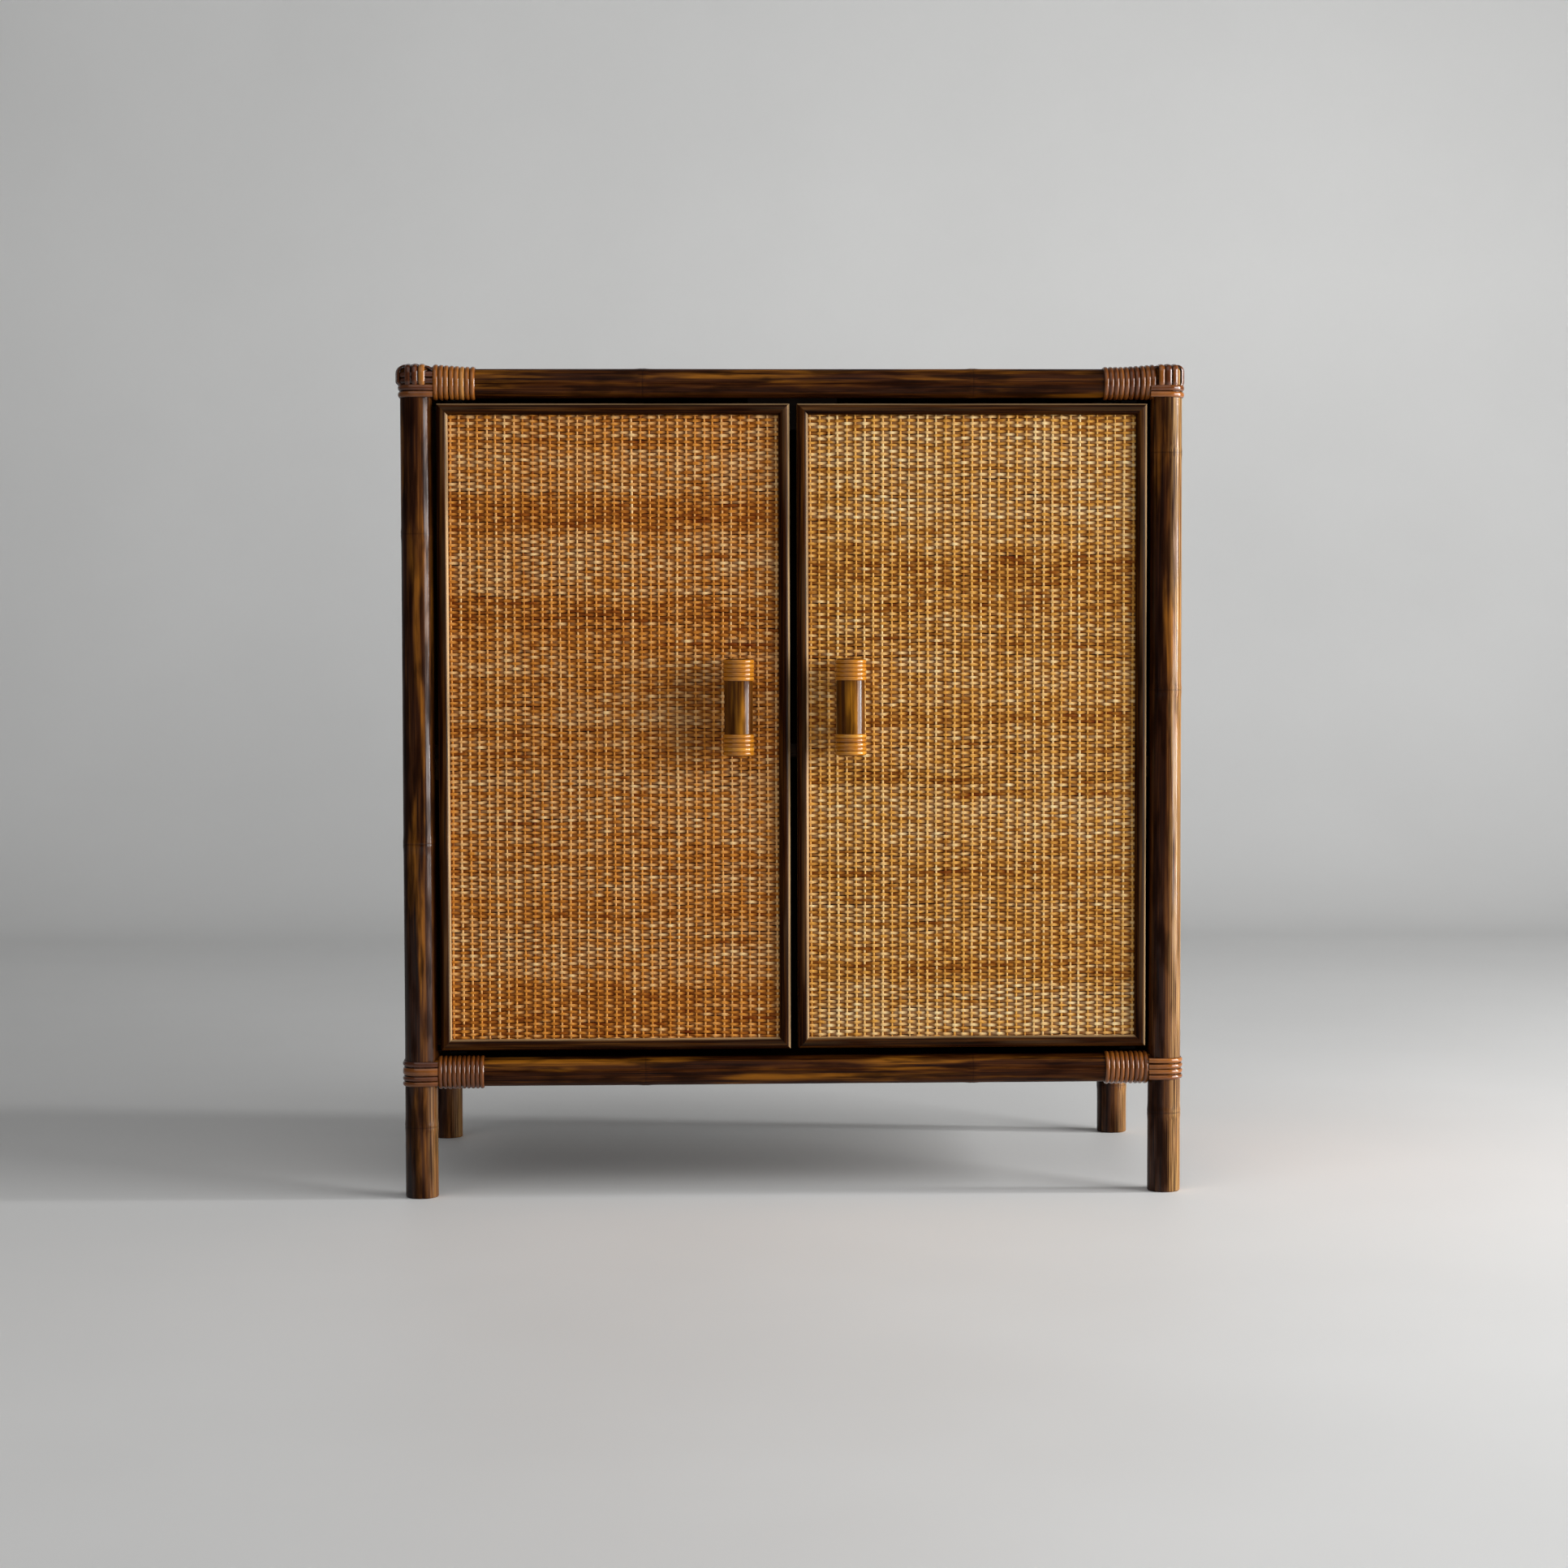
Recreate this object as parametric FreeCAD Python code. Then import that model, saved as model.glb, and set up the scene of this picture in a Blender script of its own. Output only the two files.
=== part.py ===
import FreeCAD, Part
import math
import os

Vec = FreeCAD.Vector
UP = Vec(0, 0, 1)
RIGHT = Vec(1, 0, 0)
BACK = Vec(0, 1, 0)

# Round poles: four tapered posts, joined by an upper and a lower ring of rails
post_spacing_x = 672.0
post_spacing_y = 340.0
post_height = 743.0
post_foot_radius = 14.8
post_top_radius = 14.2
post_top_round = 4.0
rail_radius = 13.0
rail_cross_gap = 0.3
leg_clearance = 99.7

# Dowels that join each rail end to its post
dowel_radius = 4.0
dowel_post_depth = 8.0
dowel_rail_depth = 16.0
dowel_end_gap = 0.5

# Flat cane strip wound round the rail ends
strip_thickness = 1.6
strip_bevel_width = 1.0
strip_bevel_drop = 0.5
strip_gap = 0.5
top_strip_width = 4.2
top_turns = 8
bottom_strip_width = 3.85
bottom_turns = 9

# Flat cane straps that go round the outside of each post and over its top
strap_width = 5.6
strap_gap = 0.5
strap_thickness = 1.6
top_strap_count = 2
bottom_strap_count = 4
cap_strap_count = 3

# Clearances shared by all pieces
seat_gap = 0.2
tuck_gap = 0.4
panel_gap = 0.25
fit_gap = 0.05
running_gap = 0.05
overrun = 5.0

# Boards let in between the poles, the woven sheets on them and their mouldings
panel_thickness = 10.0
floor_thickness = 12.0
top_recess = 3.4
sheet_thickness = 1.6
moulding_width = 10.0
moulding_height = 6.0
moulding_edge = 1.0

# Doors
core_thickness = 12.0
core_ahead = 3.0
door_post_gap = 3.2
door_centre_gap = 6.6
door_bottom_allowance = 2.3

# Pivot hinges: a bent plate on the side board, a pin, and a bush in the door edge
pivot_inset = 16.0
pivot_depth = 4.5
pin_radius = 2.0
pin_reach = 11.0
collar_radius = 4.5
thrust_gap = 0.3
bush_radius = 3.2
bush_length = 14.0
bracket_thickness = 2.0
bracket_door_gap = 0.8
bracket_rail_gap = 0.4
bracket_arm_width = 14.0
bracket_arm_front = 6.0
bracket_post_gap = 3.2
bracket_depth = 24.0
bracket_leg_height = 26.0
bracket_screw_shares = (0.25, 0.75)
bracket_screw_drop_share = 0.6

# Handles: a short pole on two spacers, bound at both ends
handle_from_edge = 46.7
handle_above_bottom = 308.2
grip_radius = 12.75
grip_length = 87.0
grip_end_round = 2.5
finger_gap = 10.0
spacer_radius = 4.0
spacer_binding_gap = 0.5
spacer_seat = 3.0
handle_strip_width = 3.2
handle_strip_thickness = 1.1
handle_strip_gap = 0.15
handle_turns = 4
handle_binding_inset = 0.8
handle_screw_bite = 9.0

# Shelf, its cleats, and the magnetic catch under the top
shelf_underside = 394.0
shelf_thickness = 12.0
shelf_setback = 26.0
cleat_width = 12.0
cleat_height = 20.0
cleat_setback = 6.0
cleat_screw_shares = (0.2, 0.8)
catch_length = 80.0
catch_depth = 20.0
catch_wall = 4.0
catch_gap = 0.5
catch_screw_share = 0.8
magnet_radius = 6.0
magnet_length = 6.0
magnet_spacing = 40.0
magnet_below_door_top = 12.0
strike_width = 26.0
strike_height = 16.0
strike_thickness = 1.0
strike_spike_radius = 1.2
strike_spike_length = 6.0
strike_spike_share = 0.36

# Screws
screw_radius = 2.0
screw_head_radius = 4.0
screw_head_height = 2.2
screw_bite_share = 0.7

# Places that follow from the sizes above
post_x = post_spacing_x / 2
bottom_rail_z = leg_clearance + rail_radius
top_rail_z = post_height - rail_radius
top_strip_pitch = top_strip_width + strip_gap
bottom_strip_pitch = bottom_strip_width + strip_gap
handle_strip_pitch = handle_strip_width + strip_gap
strap_pitch = strap_width + strap_gap


def post_radius_at(z):
    """Radius of a tapered post at a height above the floor."""
    return post_foot_radius + (post_top_radius - post_foot_radius) * z / post_height


def wound_reach(pole_radius, gap, thickness, pitch):
    """Outermost radius of a strip wound on a pole, on the half turn that climbs."""
    middle = pole_radius + gap + thickness / 2
    return math.hypot(middle, pitch / 2) + thickness / 2


top_reach = wound_reach(rail_radius, seat_gap, strip_thickness, top_strip_pitch)
bottom_reach = wound_reach(rail_radius, seat_gap, strip_thickness, bottom_strip_pitch)
top_wound_length = top_strip_width + top_strip_pitch * top_turns
bottom_wound_length = bottom_strip_width + bottom_strip_pitch * bottom_turns
handle_wound_length = handle_strip_width + handle_strip_pitch * handle_turns
wound_start = max(top_reach, bottom_reach, post_radius_at(leg_clearance)) + tuck_gap
strap_leg = wound_start - tuck_gap
spacer_inset = handle_binding_inset + handle_wound_length + spacer_binding_gap + spacer_radius
spacer_spread = grip_length - 2 * spacer_inset

# Front to back, the origin is midway between the handles and the rearmost strap
sheet_ahead = core_ahead + sheet_thickness
grip_ahead = sheet_ahead + finger_gap + grip_radius
front_reach = grip_ahead + grip_radius + handle_strip_gap + handle_strip_thickness
rear_reach = post_radius_at(leg_clearance) + seat_gap + strap_thickness
front_y = (front_reach - post_spacing_y - rear_reach) / 2
rear_y = front_y + post_spacing_y
middle_y = (front_y + rear_y) / 2

post_edge = post_foot_radius + panel_gap
rail_edge = rail_radius + panel_gap
side_inner_x = post_x - panel_thickness / 2
side_outer_x = post_x + panel_thickness / 2

core_front_y = front_y - core_ahead
core_back_y = core_front_y + core_thickness
sheet_front_y = core_front_y - sheet_thickness
grip_y = front_y - grip_ahead

door_outer_x = post_x - post_foot_radius - door_post_gap
door_inner_x = door_centre_gap / 2
door_width = door_outer_x - door_inner_x
door_top = top_rail_z - top_reach - bracket_rail_gap - bracket_thickness - bracket_door_gap
door_bottom = bottom_rail_z + bottom_reach + door_bottom_allowance + bracket_thickness + bracket_door_gap
pivot_x = door_outer_x - pivot_inset
pivot_y = core_front_y + pivot_depth
handle_x = door_inner_x + handle_from_edge
handle_z = door_bottom + handle_above_bottom

top_sheet_top = top_rail_z + rail_radius - top_recess
top_board_top = top_sheet_top - sheet_thickness
top_board_low = top_board_top - floor_thickness
floor_low = bottom_rail_z - floor_thickness / 2
floor_top = bottom_rail_z + floor_thickness / 2
magnet_z = door_top - magnet_below_door_top
catch_low = magnet_z - magnet_radius - catch_wall
catch_front_y = core_back_y + strike_thickness + catch_gap

CORNERS = {
    "front_left": (Vec(-post_x, front_y, 0), 0),
    "front_right": (Vec(post_x, front_y, 0), 90),
    "rear_right": (Vec(post_x, rear_y, 0), 180),
    "rear_left": (Vec(-post_x, rear_y, 0), 270),
}
LEVELS = {"top": top_rail_z, "bottom": bottom_rail_z}
RAIL_ENDS = {
    "front": ("front_left", "front_right"),
    "rear": ("rear_left", "rear_right"),
    "left": ("front_left", "rear_left"),
    "right": ("front_right", "rear_right"),
}
SIDES = {"left": -1, "right": 1}


def rod(radius, start, end):
    """Round bar between two points."""
    return Part.makeCylinder(radius, (end - start).Length, start, end - start)


def block(xs, ys, zs):
    """Box between two places along each axis, given in either order."""
    low = Vec(min(xs), min(ys), min(zs))
    high = Vec(max(xs), max(ys), max(zs))
    size = high - low
    return Part.makeBox(size.x, size.y, size.z, low)


def screw(seat, direction, length):
    """Round-headed screw whose head lies on the seat."""
    head = rod(screw_head_radius, seat - direction * screw_head_height, seat)
    return head.fuse(rod(screw_radius, seat, seat + direction * length)).removeSplitter()


def screw_hole(seat, direction, length):
    """Clearance hole for a screw, open at its seat."""
    mouth = seat - direction * overrun
    return rod(screw_radius + fit_gap, mouth, seat + direction * (length + dowel_end_gap))


def prism(points, height):
    """Upright prism over a plan of straight edges."""
    return Part.Face(Part.makePolygon(points + points[:1])).extrude(UP * height)


# Frame of poles

def dowel_line(corner, direction, z, extra):
    """Ends of a dowel, or of its hole when extra is the room left at each end."""
    foot = CORNERS[corner][0] + UP * z
    skin = post_radius_at(z)
    start = foot + direction * (skin - dowel_post_depth - extra)
    return start, foot + direction * (skin + dowel_rail_depth + extra)


def inward(corner):
    """Two directions from a post towards its neighbours."""
    place = CORNERS[corner][0]
    along_x = RIGHT if place.x < 0 else RIGHT * -1
    along_y = BACK if place.y < middle_y else BACK * -1
    return along_x, along_y


def dowel_holes(corner):
    """Holes in one post and its rails for the four dowels at that post."""
    holes = []
    for z in LEVELS.values():
        for direction in inward(corner):
            start, end = dowel_line(corner, direction, z, dowel_end_gap)
            holes.append(rod(dowel_radius + fit_gap, start, end))
    return holes


def post(corner):
    """Tapered pole with a rounded top and blind holes for its dowels."""
    pole = Part.makeCone(post_foot_radius, post_top_radius, post_height, CORNERS[corner][0])
    rim = max(pole.Edges, key=lambda edge: edge.BoundBox.ZMin)
    return pole.makeFillet(post_top_round, [rim]).cut(dowel_holes(corner))


def rail(name, z):
    """Pole between two posts, its ends hollowed to fit them."""
    first, last = (CORNERS[corner][0] for corner in RAIL_ENDS[name])
    direction = (last - first).normalize()
    trim = direction * (rail_radius + rail_cross_gap)
    pole = rod(rail_radius, first + trim + UP * z, last - trim + UP * z)
    cuts = []
    for corner in RAIL_ENDS[name]:
        low = CORNERS[corner][0] + UP * (z - rail_radius - overrun)
        high = CORNERS[corner][0] + UP * (z + rail_radius + overrun)
        cuts.append(rod(post_radius_at(z - rail_radius) + seat_gap, low, high))
        cuts.extend(dowel_holes(corner))
    return pole.cut(cuts)


def rail_dowels():
    """All the dowels, two to each rail."""
    dowels = []
    for corner in CORNERS:
        for z in LEVELS.values():
            for direction in inward(corner):
                dowels.append(rod(dowel_radius, *dowel_line(corner, direction, z, 0)))
    return Part.makeCompound(dowels)


# Bindings

def wound_path(radius, pitch, turns, start):
    """Half turns about the vertical, level on the front and climbing on the back."""
    edges = []
    rise = math.hypot(radius, pitch / 2)
    for turn in range(turns):
        low = start + turn * pitch
        first = Vec(radius, 0, low)
        far = Vec(-radius, 0, low)
        last = Vec(radius, 0, low + pitch)
        edges.append(Part.Arc(first, Vec(0, -radius, low), far).toShape())
        edges.append(Part.Arc(far, Vec(0, rise, low + pitch / 2), last).toShape())
    return Part.Wire(edges)


def least_gap(path, width, turns):
    """Least room between neighbouring turns, from points along the strip's middle."""
    points_per_turn = 24
    points = path.discretize(Number=turns * points_per_turn + 1)
    apart = points_per_turn * 3 // 4
    gaps = []
    for index, low in enumerate(points):
        for high in points[index + apart:index + points_per_turn + apart]:
            gaps.append((high - low - UP * width).Length)
    return min(gaps)


def winding(pole_radius, gap, width, thickness, pitch, turns):
    """One flat strip wound upwards round a pole, from its lower edge at zero."""
    inner = pole_radius + gap
    outer = inner + thickness
    shoulder = outer - strip_bevel_drop * thickness / strip_thickness
    half = width / 2
    crest = half - strip_bevel_width * width / top_strip_width
    outline = [(inner, -half), (shoulder, -half), (outer, -crest)]
    outline += [(outer, crest), (shoulder, half), (inner, half)]
    points = [Vec(radius, 0, half + z) for radius, z in outline]
    path = wound_path(inner + thickness / 2, pitch, turns, half)
    sweep = Part.BRepOffsetAPI.MakePipeShell(path)
    sweep.setBiNormalMode(UP)
    sweep.add(Part.makePolygon(points + points[:1]))
    sweep.build()
    sweep.makeSolid()
    print("winding of", turns, "turns, least gap", round(least_gap(path, width, turns), 2))
    return sweep.shape()


def corner_strap(z, inner):
    """Level strap round the outside quarter of a post, with a leg along each rail."""
    outer = inner + strap_thickness
    leg = strap_leg
    slant = math.sqrt(0.5)
    edges = [
        Part.LineSegment(Vec(leg, -inner, z), Vec(0, -inner, z)),
        Part.Arc(Vec(0, -inner, z), Vec(-inner * slant, -inner * slant, z), Vec(-inner, 0, z)),
        Part.LineSegment(Vec(-inner, 0, z), Vec(-inner, leg, z)),
        Part.LineSegment(Vec(-inner, leg, z), Vec(-outer, leg, z)),
        Part.LineSegment(Vec(-outer, leg, z), Vec(-outer, 0, z)),
        Part.Arc(Vec(-outer, 0, z), Vec(-outer * slant, -outer * slant, z), Vec(0, -outer, z)),
        Part.LineSegment(Vec(0, -outer, z), Vec(leg, -outer, z)),
        Part.LineSegment(Vec(leg, -outer, z), Vec(leg, -inner, z)),
    ]
    plan = Part.Face(Part.Wire([edge.toShape() for edge in edges]))
    return plan.extrude(UP * strap_width)


def cap_strap(offset, low, layer):
    """Strap up the front of a post and back over its top, in the lower or upper layer."""
    skin = post_radius_at(low) + seat_gap
    inner_edge = max(abs(offset) - strap_width / 2, 0)
    stand = math.sqrt(skin ** 2 - inner_edge ** 2)
    lid = post_height + seat_gap + layer * (strap_thickness + seat_gap)
    side = offset - strap_width / 2
    slant = math.sqrt(0.5)
    centre_y = post_top_round - stand
    centre_z = lid - post_top_round
    large = post_top_round + strap_thickness
    bend_in = Vec(side, centre_y - post_top_round * slant, centre_z + post_top_round * slant)
    bend_out = Vec(side, centre_y - large * slant, centre_z + large * slant)
    inside = [Vec(side, -stand, low), Vec(side, -stand, centre_z), Vec(side, centre_y, lid)]
    inside.append(Vec(side, strap_leg, lid))
    outside = [Vec(side, -stand - strap_thickness, low), Vec(side, -stand - strap_thickness, centre_z)]
    outside += [Vec(side, centre_y, lid + strap_thickness), Vec(side, strap_leg, lid + strap_thickness)]
    edges = [
        Part.LineSegment(inside[0], inside[1]),
        Part.Arc(inside[1], bend_in, inside[2]),
        Part.LineSegment(inside[2], inside[3]),
        Part.LineSegment(inside[3], outside[3]),
        Part.LineSegment(outside[3], outside[2]),
        Part.Arc(outside[2], bend_out, outside[1]),
        Part.LineSegment(outside[1], outside[0]),
        Part.LineSegment(outside[0], inside[0]),
    ]
    profile = Part.Face(Part.Wire([edge.toShape() for edge in edges]))
    return profile.extrude(RIGHT * strap_width)


def wound_pair(strip, start, z):
    """The same winding on the two rails that leave a post."""
    along_x = strip.rotated(Vec(), BACK, 90).translated(Vec(start, 0, z))
    turned = strip.rotated(Vec(), UP, 180).rotated(Vec(), BACK, 90).rotated(Vec(), UP, 90)
    return [along_x, turned.translated(Vec(0, start, z))]


def top_binding():
    """Windings, level straps and crossed cap straps of an upper corner, at the origin."""
    strip = winding(rail_radius, seat_gap, top_strip_width, strip_thickness,
                    top_strip_pitch, top_turns)
    pieces = wound_pair(strip, wound_start, top_rail_z)
    low = top_rail_z - rail_radius
    inner = max(post_radius_at(low), rail_radius) + seat_gap
    for index in range(top_strap_count):
        pieces.append(corner_strap(low + index * strap_pitch, inner))
    leg_low = low + (top_strap_count - 1) * strap_pitch + strap_width + tuck_gap
    for index in range(cap_strap_count):
        offset = (index - (cap_strap_count - 1) / 2) * strap_pitch
        pieces.append(cap_strap(offset, leg_low, 0))
        pieces.append(cap_strap(offset, leg_low, 1).rotated(Vec(), UP, -90))
    return Part.makeCompound(pieces)


def bottom_binding():
    """Windings and level straps of a lower joint, at the origin."""
    strip = winding(rail_radius, seat_gap, bottom_strip_width, strip_thickness,
                    bottom_strip_pitch, bottom_turns)
    pieces = wound_pair(strip, wound_start, bottom_rail_z)
    stack = (bottom_strap_count - 1) * strap_pitch + strap_width
    low = bottom_rail_z - stack / 2
    inner = max(post_radius_at(low), rail_radius) + seat_gap
    for index in range(bottom_strap_count):
        pieces.append(corner_strap(low + index * strap_pitch, inner))
    return Part.makeCompound(pieces)


# Boards and woven sheets

def winding_recesses(level):
    """Round clearances for the windings of one ring of rails."""
    if level == "top":
        reach, length = top_reach, top_wound_length
    else:
        reach, length = bottom_reach, bottom_wound_length
    end = wound_start + length + tuck_gap
    recesses = []
    for corner in CORNERS:
        foot = CORNERS[corner][0] + UP * LEVELS[level]
        for direction in inward(corner):
            recesses.append(rod(reach + panel_gap, foot, foot + direction * end))
    return recesses


def upright_panel(xs, ys):
    """Panel between the two rings of rails, cleared for their windings."""
    panel = block(xs, ys, (bottom_rail_z + rail_edge, top_rail_z - rail_edge))
    return panel.cut(winding_recesses("top") + winding_recesses("bottom"))


def side_span():
    """Front and back edges of a side panel."""
    return front_y + post_edge, rear_y - post_edge


def bracket_screw_places(level):
    """Heights and depths of the screws in a pivot bracket's upright leg."""
    start = front_y + post_foot_radius + bracket_post_gap
    if level == "top":
        z = door_top + bracket_door_gap + bracket_thickness - bracket_leg_height * bracket_screw_drop_share
    else:
        z = door_bottom - bracket_door_gap - bracket_thickness + bracket_leg_height * bracket_screw_drop_share
    return [Vec(0, start + bracket_depth * share, z) for share in bracket_screw_shares]


def cleat_span():
    """Front and back ends of a shelf cleat."""
    return core_back_y + shelf_setback + cleat_setback, rear_y - post_edge - cleat_setback


def cleat_screw_places():
    """Places of the screws along a cleat."""
    front, back = cleat_span()
    z = shelf_underside - cleat_height / 2
    return [Vec(0, front + (back - front) * share, z) for share in cleat_screw_shares]


bracket_screw_length = bracket_thickness + panel_thickness * screw_bite_share
cleat_screw_length = cleat_width + panel_thickness * screw_bite_share


def side_fixings(sign):
    """Seat, direction and length of each screw driven into a side board."""
    outward = RIGHT * sign
    fixings = []
    for level in LEVELS:
        for place in bracket_screw_places(level):
            seat = place + outward * (side_inner_x - bracket_thickness)
            fixings.append((seat, outward, bracket_screw_length))
    for place in cleat_screw_places():
        fixings.append((place + outward * (side_inner_x - cleat_width), outward, cleat_screw_length))
    return fixings


def side_board(sign):
    """Board between a front and a rear post, drilled for brackets and cleat."""
    board = upright_panel((sign * side_inner_x, sign * side_outer_x), side_span())
    return board.cut([screw_hole(*fixing) for fixing in side_fixings(sign)])


def side_sheet(sign):
    """Woven sheet on the outer face of a side board."""
    return upright_panel((sign * side_outer_x, sign * (side_outer_x + sheet_thickness)), side_span())


def back_board():
    """Plain board between the rear posts."""
    half = post_x - post_edge
    return upright_panel((-half, half), (rear_y - panel_thickness / 2, rear_y + panel_thickness / 2))


def level_board(level, low, high, edge):
    """Board inside a ring of rails, cleared for the windings at its corners."""
    half = post_x - edge
    board = block((-half, half), (front_y + edge, rear_y - edge), (low, high))
    return board.cut(winding_recesses(level))


def top_board():
    """Board under the woven top, drilled for the catch."""
    board = level_board("top", top_board_low, top_board_top, rail_edge)
    return board.cut([screw_hole(*fixing) for fixing in catch_fixings()])


def top_sheet():
    """Woven sheet on the top board, carried out to the rails' round flanks."""
    flank = math.sqrt(rail_radius ** 2 - (top_board_top - top_rail_z) ** 2)
    return level_board("top", top_board_top, top_sheet_top, flank + panel_gap)


def moulding_bar(length):
    """Half-round bar along X with mitred ends, its flat base on the ground."""
    outline = [
        Part.LineSegment(Vec(), Vec(0, 0, moulding_edge)),
        Part.Arc(Vec(0, 0, moulding_edge), Vec(0, moulding_width / 2, moulding_height),
                 Vec(0, moulding_width, moulding_edge)),
        Part.LineSegment(Vec(0, moulding_width, moulding_edge), Vec(0, moulding_width, 0)),
        Part.LineSegment(Vec(0, moulding_width, 0), Vec()),
    ]
    bar = Part.Face(Part.Wire([edge.toShape() for edge in outline])).extrude(RIGHT * length)
    inset = length - moulding_width
    plan = [Vec(), Vec(length, 0, 0), Vec(inset, moulding_width, 0), Vec(moulding_width, moulding_width, 0)]
    return bar.common(prism(plan, moulding_height))


def moulding_frame(width, height):
    """Four mitred bars round a rectangle that starts at the origin."""
    level = moulding_bar(width)
    upright = moulding_bar(height)
    return Part.makeCompound([
        level,
        level.rotated(Vec(width / 2, height / 2, 0), UP, 180),
        upright.rotated(Vec(), UP, 90).translated(Vec(width, 0, 0)),
        upright.rotated(Vec(), UP, -90).translated(Vec(0, height, 0)),
    ])


def side_mouldings(sign):
    """Mouldings round the edge of a side sheet."""
    front, back = side_span()
    low = bottom_rail_z + bottom_reach + panel_gap
    high = top_rail_z - top_reach - panel_gap
    frame = moulding_frame(back - front, high - low).rotated(Vec(), RIGHT, 90).rotated(Vec(), UP, 90 * sign)
    start = front if sign > 0 else back
    return frame.translated(Vec(sign * (side_outer_x + sheet_thickness), start, low))


# Inside fittings

def shelf():
    """Board on two cleats, notched round the rear posts."""
    half = side_inner_x - panel_gap
    front = core_back_y + shelf_setback
    back = rear_y - panel_thickness / 2 - panel_gap
    heights = (shelf_underside, shelf_underside + shelf_thickness)
    board = block((-half, half), (front, back), heights)
    notches = []
    for sign in SIDES.values():
        xs = (sign * (post_x - post_edge), sign * (half + overrun))
        ys = (rear_y - post_edge, back + overrun)
        zs = (shelf_underside - overrun, shelf_underside + shelf_thickness + overrun)
        notches.append(block(xs, ys, zs))
    return board.cut(notches)


def shelf_cleats():
    """Battens on the side boards that carry the shelf."""
    cleats = []
    for sign in SIDES.values():
        xs = (sign * side_inner_x, sign * (side_inner_x - cleat_width))
        cleat = block(xs, cleat_span(), (shelf_underside - cleat_height, shelf_underside))
        cleats.append(cleat.cut([screw_hole(*fixing) for fixing in side_fixings(sign)]))
    return Part.makeCompound(cleats)


def side_screws(length):
    """Screws of one length driven into both side boards."""
    screws = []
    for sign in SIDES.values():
        screws += [screw(*fixing) for fixing in side_fixings(sign) if fixing[2] == length]
    return Part.makeCompound(screws)


def catch_fixings():
    """Seat, direction and length of the screws that hold the catch block up."""
    x = catch_length / 2 * catch_screw_share
    y = catch_front_y + catch_depth / 2
    length = top_board_low - catch_low + floor_thickness * screw_bite_share
    return [(Vec(sign * x, y, catch_low), UP, length) for sign in SIDES.values()]


def magnet(sign, radius):
    """Round magnet set flush in the catch block, or its hole."""
    face = Vec(sign * magnet_spacing / 2, catch_front_y, magnet_z)
    return rod(radius, face, face + BACK * magnet_length)


def catch_block():
    """Block under the top board that stops both doors and holds their magnets."""
    xs = (-catch_length / 2, catch_length / 2)
    body = block(xs, (catch_front_y, catch_front_y + catch_depth), (catch_low, top_board_low))
    holes = [magnet(sign, magnet_radius + fit_gap) for sign in SIDES.values()]
    holes += [screw_hole(*fixing) for fixing in catch_fixings()]
    rail_middle = Vec(0, front_y, top_rail_z)
    reach = RIGHT * (catch_length / 2 + overrun)
    holes.append(rod(rail_edge, rail_middle - reach, rail_middle + reach))
    return body.cut(holes)


def bracket_levels():
    """Low and high faces of the upper and lower pivot plates, and the way to the door."""
    upper = door_top + bracket_door_gap
    lower = door_bottom - bracket_door_gap
    return {"top": (upper, upper + bracket_thickness, -1), "bottom": (lower - bracket_thickness, lower, 1)}


def pivot_bracket(sign, level):
    """Bent plate: an arm that carries the pin and a leg screwed to the side board."""
    low, high, way = bracket_levels()[level]
    half = bracket_arm_width / 2
    start = front_y + post_foot_radius + bracket_post_gap
    end = start + bracket_depth
    tip = pivot_y - bracket_arm_front
    plan = [(pivot_x - half, tip), (pivot_x + half, tip), (pivot_x + half, start)]
    plan += [(side_inner_x, start), (side_inner_x, end), (pivot_x - half, end)]
    plate = prism([Vec(sign * x, y, low) for x, y in plan], bracket_thickness)
    edge = low if way > 0 else high
    xs = (sign * side_inner_x, sign * (side_inner_x - bracket_thickness))
    leg = block(xs, (start, end), (edge, edge + way * bracket_leg_height))
    axis = Vec(sign * pivot_x, pivot_y, 0)
    pin_hole = rod(pin_radius + fit_gap, axis + UP * (low - overrun), axis + UP * (high + overrun))
    holes = [screw_hole(*fixing) for fixing in side_fixings(sign)]
    return plate.fuse(leg).removeSplitter().cut(holes + [pin_hole])


def pivot_brackets(sign):
    """Upper and lower bracket of one door."""
    return Part.makeCompound([pivot_bracket(sign, level) for level in LEVELS])


def pivot_pin(sign, level):
    """Collared pin through a bracket into the bush of the door."""
    low, high, way = bracket_levels()[level]
    axis = Vec(sign * pivot_x, pivot_y, 0)
    outer, seat = (high, low) if way < 0 else (low, high)
    door_edge = seat + way * bracket_door_gap
    shank = rod(pin_radius, axis + UP * outer, axis + UP * (door_edge + way * pin_reach))
    collar_end = seat + way * (bracket_door_gap - thrust_gap)
    return shank.fuse(rod(collar_radius, axis + UP * seat, axis + UP * collar_end)).removeSplitter()


def pivot_pins():
    """Four pins, upper and lower on both sides."""
    return Part.makeCompound([pivot_pin(sign, level) for sign in SIDES.values() for level in LEVELS])


# Doors

def bush_line(level):
    """Height of a door edge and of the inner end of its bush."""
    if level == "top":
        return door_top, door_top - bush_length
    return door_bottom, door_bottom + bush_length


def handle_screw_seats(sign):
    """Seats of the handle screws on the back of a door."""
    half = spacer_spread / 2
    return [Vec(sign * handle_x, core_back_y, handle_z + way * half) for way in SIDES.values()]


handle_screw_length = core_thickness + sheet_thickness + finger_gap + spacer_seat + handle_screw_bite


def handle_holes(sign):
    """Holes for the handle screws, from the back of the door into the grip."""
    return [screw_hole(seat, BACK * -1, handle_screw_length) for seat in handle_screw_seats(sign)]


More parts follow.
